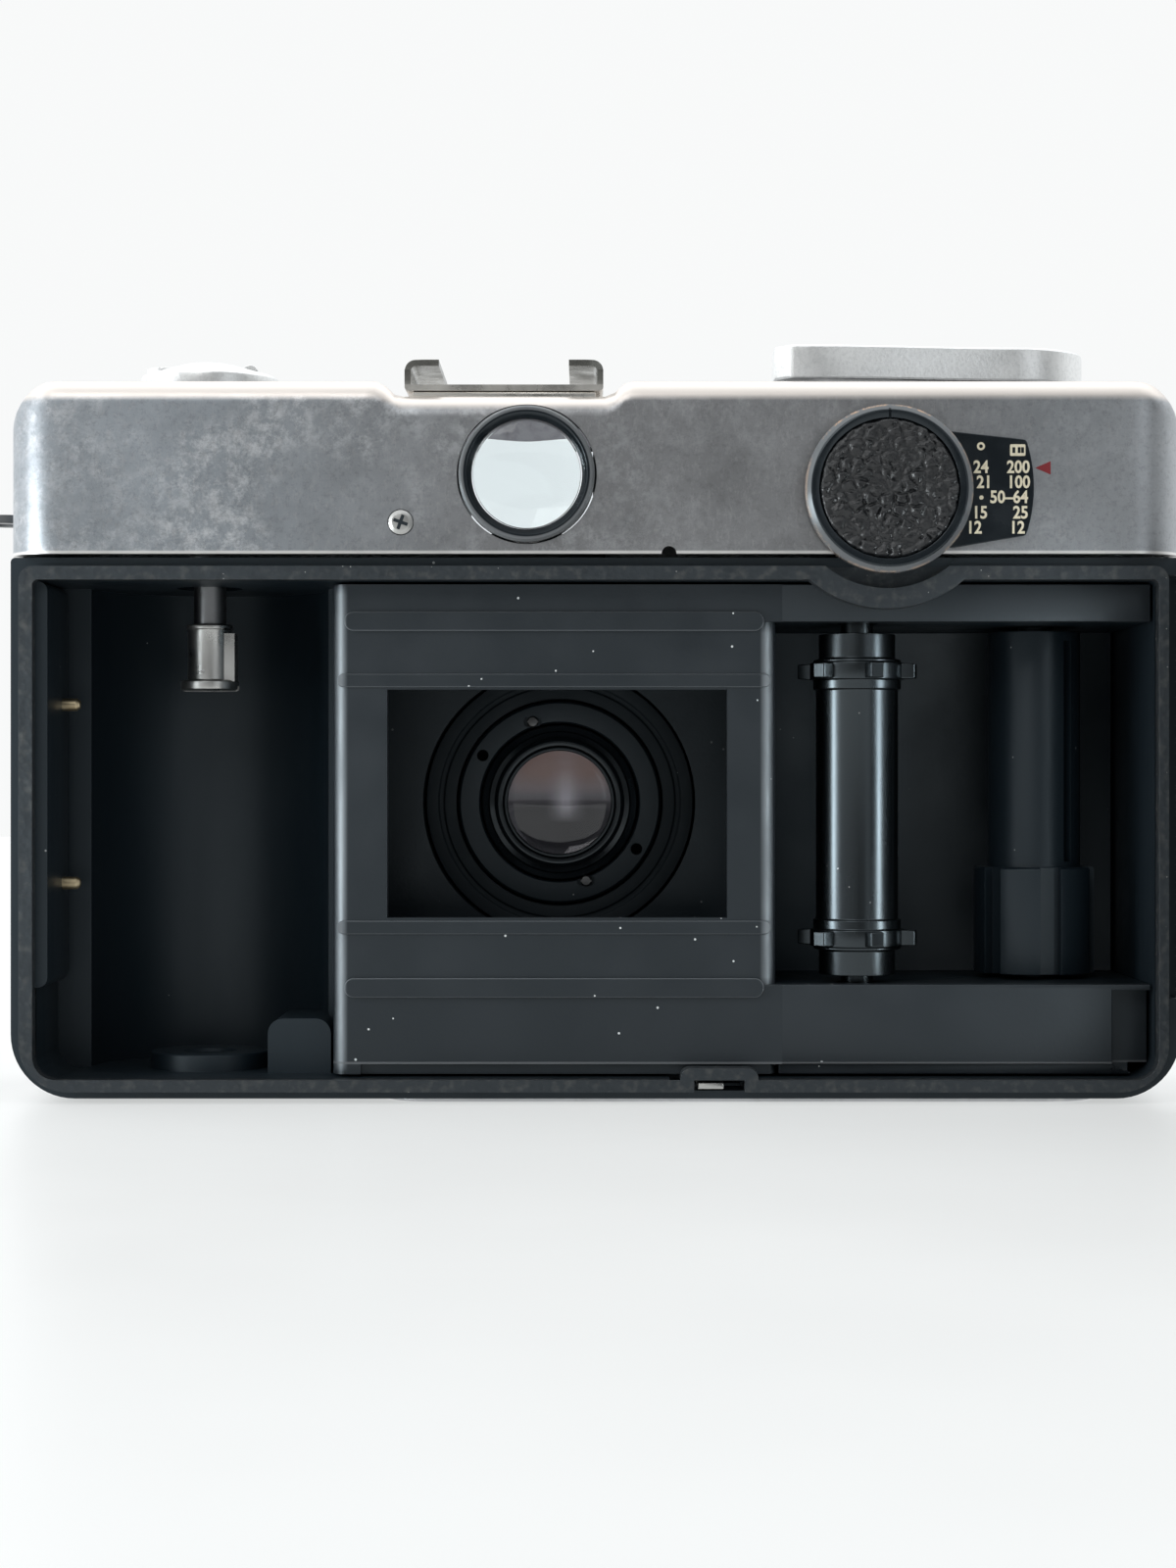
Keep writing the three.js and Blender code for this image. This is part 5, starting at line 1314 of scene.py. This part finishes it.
def lens_turn(node, profile, material, soft=0.1):
    """A turned piece about the lens axis; its profile ends where it starts unless it reaches the axis."""
    if profile[0][0] > 0:
        profile = profile + [profile[0]]
    turned(node, profile, LENS, material, "Y", 160, soft)


def make_grip_ring(node, outline, grip_high, depth, count, material, soft):
    """A ring about the lens axis, whose part nearer the body is a fluted grip."""
    r, low, high = max(point[0] for point in outline), outline[0][1], outline[-1][1]
    made = turn(node, outline + [outline[0]], LENS, "Y", 160)
    grip = toothed("grip", LENS, r + 0.05, depth, count, low - 1, grip_high, "Y")
    join(grip, disc("plain", LENS, r + 0.05, grip_high - 0.05, high + 1))
    trim(made, grip)
    stand_for(soft_edges(made, soft), material, node)


def make_lens(metal, enamel, ring_metal, inside, clear, amber, screw_metal, blade_metal, ink, dark_ink):
    seat = 19.5
    y = LENS_MOUNT
    lens_turn("lens_flange", [(seat, y), (24, y), (24, y + 1.7), (23.5, y + 2.2), (seat, y + 2.2)], metal)
    barrel = [(15.4, 8), (18, 8), (18, 13), (19.2, 13), (19.2, 36), (15.6, 36), (15.4, 35.6)]
    barrel += [(15.4, 14.6), (15.2, 14.2), (15.4, 13.8)]
    lens_turn("lens_barrel", barrel, inside, 0.06)
    low, high = LENS_MOUNT + 2.5, LENS_MOUNT + 9.5
    focus = [(seat, low), (23.4, low), (23.4, low + 4.2), (22.9, low + 4.4)]
    focus += [(22.9, high - 0.2), (22.6, high), (seat, high)]
    make_grip_ring("focus_ring", focus, low + 4.3, 0.45, 72, enamel, 0.1)
    low, high = LENS_MOUNT + 9.8, LENS_MOUNT + 15.2
    aperture = [(seat, low), (22.2, low), (22.6, low + 0.3), (22.6, low + 2.6)]
    aperture += [(22.1, low + 2.8), (22.1, high - 0.2), (21.8, high), (seat, high)]
    make_grip_ring("aperture_ring", aperture, low + 2.7, 0.3, 96, metal, 0.08)
    y = LENS_MOUNT + 15.5
    rim = [(seat, y), (22.2, y), (22.9, y + 0.6), (22.9, y + 6.2), (22.6, y + 6.5), (21.6, y + 6.5)]
    rim += [(21.4, y + 6.2), (20.9, y + 5.6), (21.1, y + 5.4), (20.8, y + 5.1), (20.6, y + 4.8), (seat, y + 4.8)]
    lens_turn("filter_ring", rim, metal)
    make_cone(36.2, inside)
    front = [(0, 29), (9.3, 29), (9.3, 30.6)]
    front += [(9.3 * u, 30.7 + 1.75 * v) for u, v in arc(0, 0, 1, 10, 82, 9)] + [(0, 32.45)]
    lens_turn("front_element", front, clear, 0.03)
    bore, r, y = 4.9, 15.1, 19.5
    housing = [(bore, y), (6.2, y), (6.4, y + 0.3), (8.4, y + 0.3), (8.6, y), (r, y), (r, 26), (bore, 26)]
    housing += [(bore, 22.8), (14.7, 22.8), (14.7, 20.6), (bore, 20.6)]
    lens_turn("shutter_housing", housing, inside, 0.05)
    bore, y = 11.7, 12.4
    plate = [(bore, y), (13.0, y), (13.2, y + 0.2), (13.6, y + 0.2), (13.8, y)]
    plate += [(r, y), (r, y + 1.4), (bore, y + 1.4)]
    lens_turn("shutter_back_plate", plate, inside, 0.06)
    make_lock_ring(ring_metal, screw_metal)
    cell = [(6.4, 10.2), (6.9, 10.2), (7.3, 10.5), (7.3, 11.05), (7.9, 11.1), (8.05, 11.5)]
    cell += [(8.7, 11.7), (8.7, 18.5), (6.4, 18.5)]
    lens_turn("rear_lens_cell", cell, enamel, 0.06)
    retainer = [(5.8, 10.1), (5.9, 9.85), (6.15, 9.85), (6.35, 10.05), (6.35, 10.6), (5.8, 10.6), (5.8, 10.1)]
    made = turn("rear_retaining_ring", retainer, LENS, "Y", 128, 0.05)
    put(smooth(made), enamel, "camera_body")
    rear = [(0, 10.05)] + [(5.9 * v, 10.75 - 0.7 * u) for u, v in arc(0, 0, 1, 12, 84, 8)]
    rear += [(6.1, 10.8), (6.1, 13.6), (0, 13.6)]
    lens_turn("rear_element", rear, amber, 0.02)
    for blade in ("shutter_blade_upper", "shutter_blade_lower"):
        keep(blade, blade_metal, 0.05)
    for k, text in enumerate(("1", "1.5", "2", "3", "5", "10")):
        ring_text(f"distance_{k}", text, 1.9, (22.92, 24.2), -46 + 17 * k, ink, "focus_ring")
    for k, text in enumerate(("2", "2.8", "4", "5.6", "8", "11", "16")):
        place = (22.12, 29.9)
        ring_text(f"stop_{k}", text, 1.6, place, -33 + 11 * k, dark_ink, "aperture_ring")


def make_cone(y, material):
    """The grooved cone round the front element; y is its front."""
    bore, r, steps = 9.6, 15.2, 8
    cone = [(bore, y - 5.2), (bore, y - 6.6), (10.4, y - 6.6), (r, y - 3), (r, y - 1.6)]
    for k in range(1, steps):
        share = k / steps
        groove_r, groove_y = r - 5.6 * share, y - 1.6 - 3.6 * share
        cone += [(groove_r, groove_y - 0.02), (groove_r, groove_y - 0.24)]
    lens_turn("front_cone", cone, material, 0.03)


def make_lock_ring(ring_material, screw_material):
    """The ring that holds the lens in the shutter, with two key holes and two screws in shallow slots."""
    x, z = LENS
    screws = (("lock_screw_upper", x - 3.05, z + 9.1), ("lock_screw_lower", x + 3.0, z - 8.9))
    ring = [(9, 11.75), (9.15, 11.6), (11.2, 11.6), (11.4, 11.8), (11.4, 13.4), (9, 13.4), (9, 11.75)]
    made = turn("lens_lock_ring", ring, LENS, "Y", 160, 0.06)
    holes = [disc("key", (x + s * 8.7, z - s * 5.3), 0.66, 11, 13.6, segments=32) for s in (-1, 1)]
    for _, u, v in screws:
        holes.append(slab("slot", rounded_box(u - 1.0, u + 1.0, v - 0.55, v + 0.55, 0.5), 11, 12.3, "Y"))
    cut(made, *holes)
    stand_for(soft_edges(made, 0.05), ring_material, "lens_lock_ring")
    profile = [(0, 11.25), (0.5, 11.28), (0.62, 11.4), (0.62, 12.6), (0, 12.6)]
    for name, u, v in screws:
        head = turn(name, profile, (u, v), "Y", 40, 0.05)
        cut(head, block("slot", u - 1, u + 1, 11, 11.42, v - 0.1, v + 0.1))
        put(soft_edges(head, 0.03), screw_material, "camera_body")


def ring_text(name, text, size, place, angle, material, body):
    """A character at a radius and a place along the lens axis, turned from straight up."""
    r, y = place
    mesh = text_mesh(name, text, size, 0, 2)
    moved(mesh, (("Z", 180),), (0, y, r))
    moved(mesh, (("Y", angle),), (LENS[0], 0, LENS[1]))
    return put(linked(name, mesh), material, body)


# ---- Door, latch and the rest ------------------------------------------------------------------


def make_bottom(metal, bush_material):
    outline = rounded_box(-22.3, 52.7, -14, 13.5, 5, steps=16)
    made = slab("bottom_cover", outline, 0, 0.7)
    cut(
        made,
        disc("bush", BUSH, 5.5, -1, 1, "Z"),
        disc("release", RELEASE, 2.3, -1, 1, "Z"),
        block("tab", 8, 15.45, -9.7, -7, -1, 1),
    )
    stand_for(soft_edges(made, 0.2, segments=3), metal, "bottom_cover")
    profile = [(0, 0), (1.0, 0.02), (1.25, 0.2), (1.25, 1.1), (0, 1.1)]
    for k, (x, y) in enumerate(((-19, -10.5), (-19, 10), (49.4, -10.5), (49.4, 10))):
        head = turn(f"bottom_screw_{k}", profile, (x, y), soft=0.05)
        cut(head, block("slot", x - 1.5, x + 1.5, y - 0.14, y + 0.14, -0.5, 0.3))
        put(soft_edges(head, 0.04), bush_material, "camera_body")
    bore, top, pitch = 3.2, 6.5, 0.7
    thread = [(bore, 0.3), (3.5, 0), (5, 0), (5.2, 0.2), (5.2, top), (bore, top)]
    for k in range(1, 9):
        thread += [(bore + 0.14, top - pitch * k + 0.35), (bore, top - pitch * k)]
    turned("tripod_bush", thread + [thread[0]], BUSH, bush_material, soft=0.03)
    button = [(0, 0.35), (1.2, 0.3), (1.7, 0.15), (1.9, 0.3), (1.9, 2.4), (1.2, 2.4), (1.2, 3), (0, 3)]
    turned("rewind_release_button", button, RELEASE, bush_material, soft=0.05)


def make_lugs(steel):
    for side, node in ((-1, "strap_lug_left"), (1, "strap_lug_right")):
        z = 61.9
        post = [(0, 61), (1.9, 61), (1.9, 62.2), (1.5, 62.6), (0, 62.6)]
        made = turn(node, [(r, side * h) for r, h in post], (0, z), "X", 64, 0.12)
        eye = disc("eye", (side * 64.3, 0), 3, z - 0.45, z + 0.45, "Z")
        join(made, eye)
        cut(made, disc("hole", (side * 64.7, 0), 1.6, z - 2, z + 2, "Z"))
        stand_for(soft_edges(made, 0.16), steel, node)


def make_sync_socket(metal):
    y, r = 16.1, 3.2
    profile = [(0, y), (r, y), (r, y + 2.2), (r - 0.3, y + 2.6), (2.3, y + 2.6), (2.1, y + 2.3), (2.1, y + 1)]
    profile += [(0.6, y + 1), (0.5, y + 1.9), (0, y + 2)]
    turned("sync_socket", profile, (-49, 47), metal, "Y", 96, 0.06)


def build():
    moulding, crackle, dark = black_moulding(), crackle_black(), deep_black()
    enamel, casting = gloss_enamel(), casting_black()
    chipped_ring = gloss_enamel("chipped_ring", EYE, 7.1, (0.2, 0.21, 0.21))
    chipped_dial = gloss_enamel("chipped_dial", DIAL, 8.65, (0.5, 0.32, 0.2))
    chrome, blasted, nickel = satin_chrome(), sand_blasted(), worn_nickel()
    steel, brass, grain = dark_steel(), old_brass(), leatherette()
    cream, red = cream_ink(), red_ink()
    clear = clear_glass("clear_glass", (0.95, 0.98, 1))
    finder_glass = clear_glass("finder_glass", (0.93, 0.975, 0.965), 0.03)
    amber = clear_glass("coated_glass", (0.86, 0.84, 0.9))

    make_casting(casting)
    make_rim(crackle)
    make_gate_frame(black_moulding("gate_moulding", ((-26.7, 3, 54), (17.95, 12, 50))))
    keep("takeup_chamber_frame", moulding, 0.25)
    make_top_cover(cover_chrome())
    make_cover_screw(nickel, dark)
    shoe = shoe_nickel()
    make_shoe(shoe)
    keep("shoe_seat_plate", shoe, 0.12)
    make_eyepiece(chipped_ring, finder_glass, finder_grey())
    make_front_windows(enamel, clear, steel)
    keep("viewfinder_housing", dark, 0.12)
    make_dial(chipped_dial, grain)
    make_speed_plate(enamel, cream)
    triangle = [(45.5, 65.93), (47.1, 66.63), (47.1, 65.23)]
    mark = slab("speed_index", triangle, COVER_BACK - 0.03, COVER_BACK + 0.02, "Y")
    put(mark, red, "camera_body")
    make_rewind(blasted, blasted, steel, nickel, brass)
    make_winding(blasted, nickel)
    make_release(nickel, chrome)
    make_counter(chrome, clear, dark)
    make_sprocket(black_chrome())
    make_spool(casting)
    make_pins(brass)
    make_lens(chrome, enamel, casting, dark, clear, amber, steel, blade_steel(), cream, dark)
    make_bottom(chrome, nickel)
    make_lugs(steel)
    make_sync_socket(nickel)
    keep("front_leatherette", grain, 0.2)
    keep("hinge_pin", steel, 0.05)
    keep("latch_slider", nickel, 0.12)
    keep("back_door", moulding, 0.2)
    keep("door_leatherette", grain, 0.2)
    keep("door_tongue", steel, 0.1)
    keep("pressure_plate", enamel, 0.15)
    keep("pressure_plate_spring", nickel, 0.05)
    keep("film_roller", nickel, 0.08)


build()
make_floor()
make_world()
make_camera()
make_softbox("key", (-160, -420, 330), (260, 200), 0.35, (1, 1, 1))
make_softbox("fill", (260, -380, 160), (200, 240), 0.1, (0.92, 0.96, 1))
make_softbox("strip_left", (-450, -190, 120), (200, 500), 0.5, (0.96, 0.98, 1))
make_glint("glint_left", (-110, -50, 32), (30, 56), 0.0125)
make_glint("glint_right", (62.5, -32, 32), (7, 50), 0.003)
bpy.context.scene.view_settings.view_transform = "Standard"
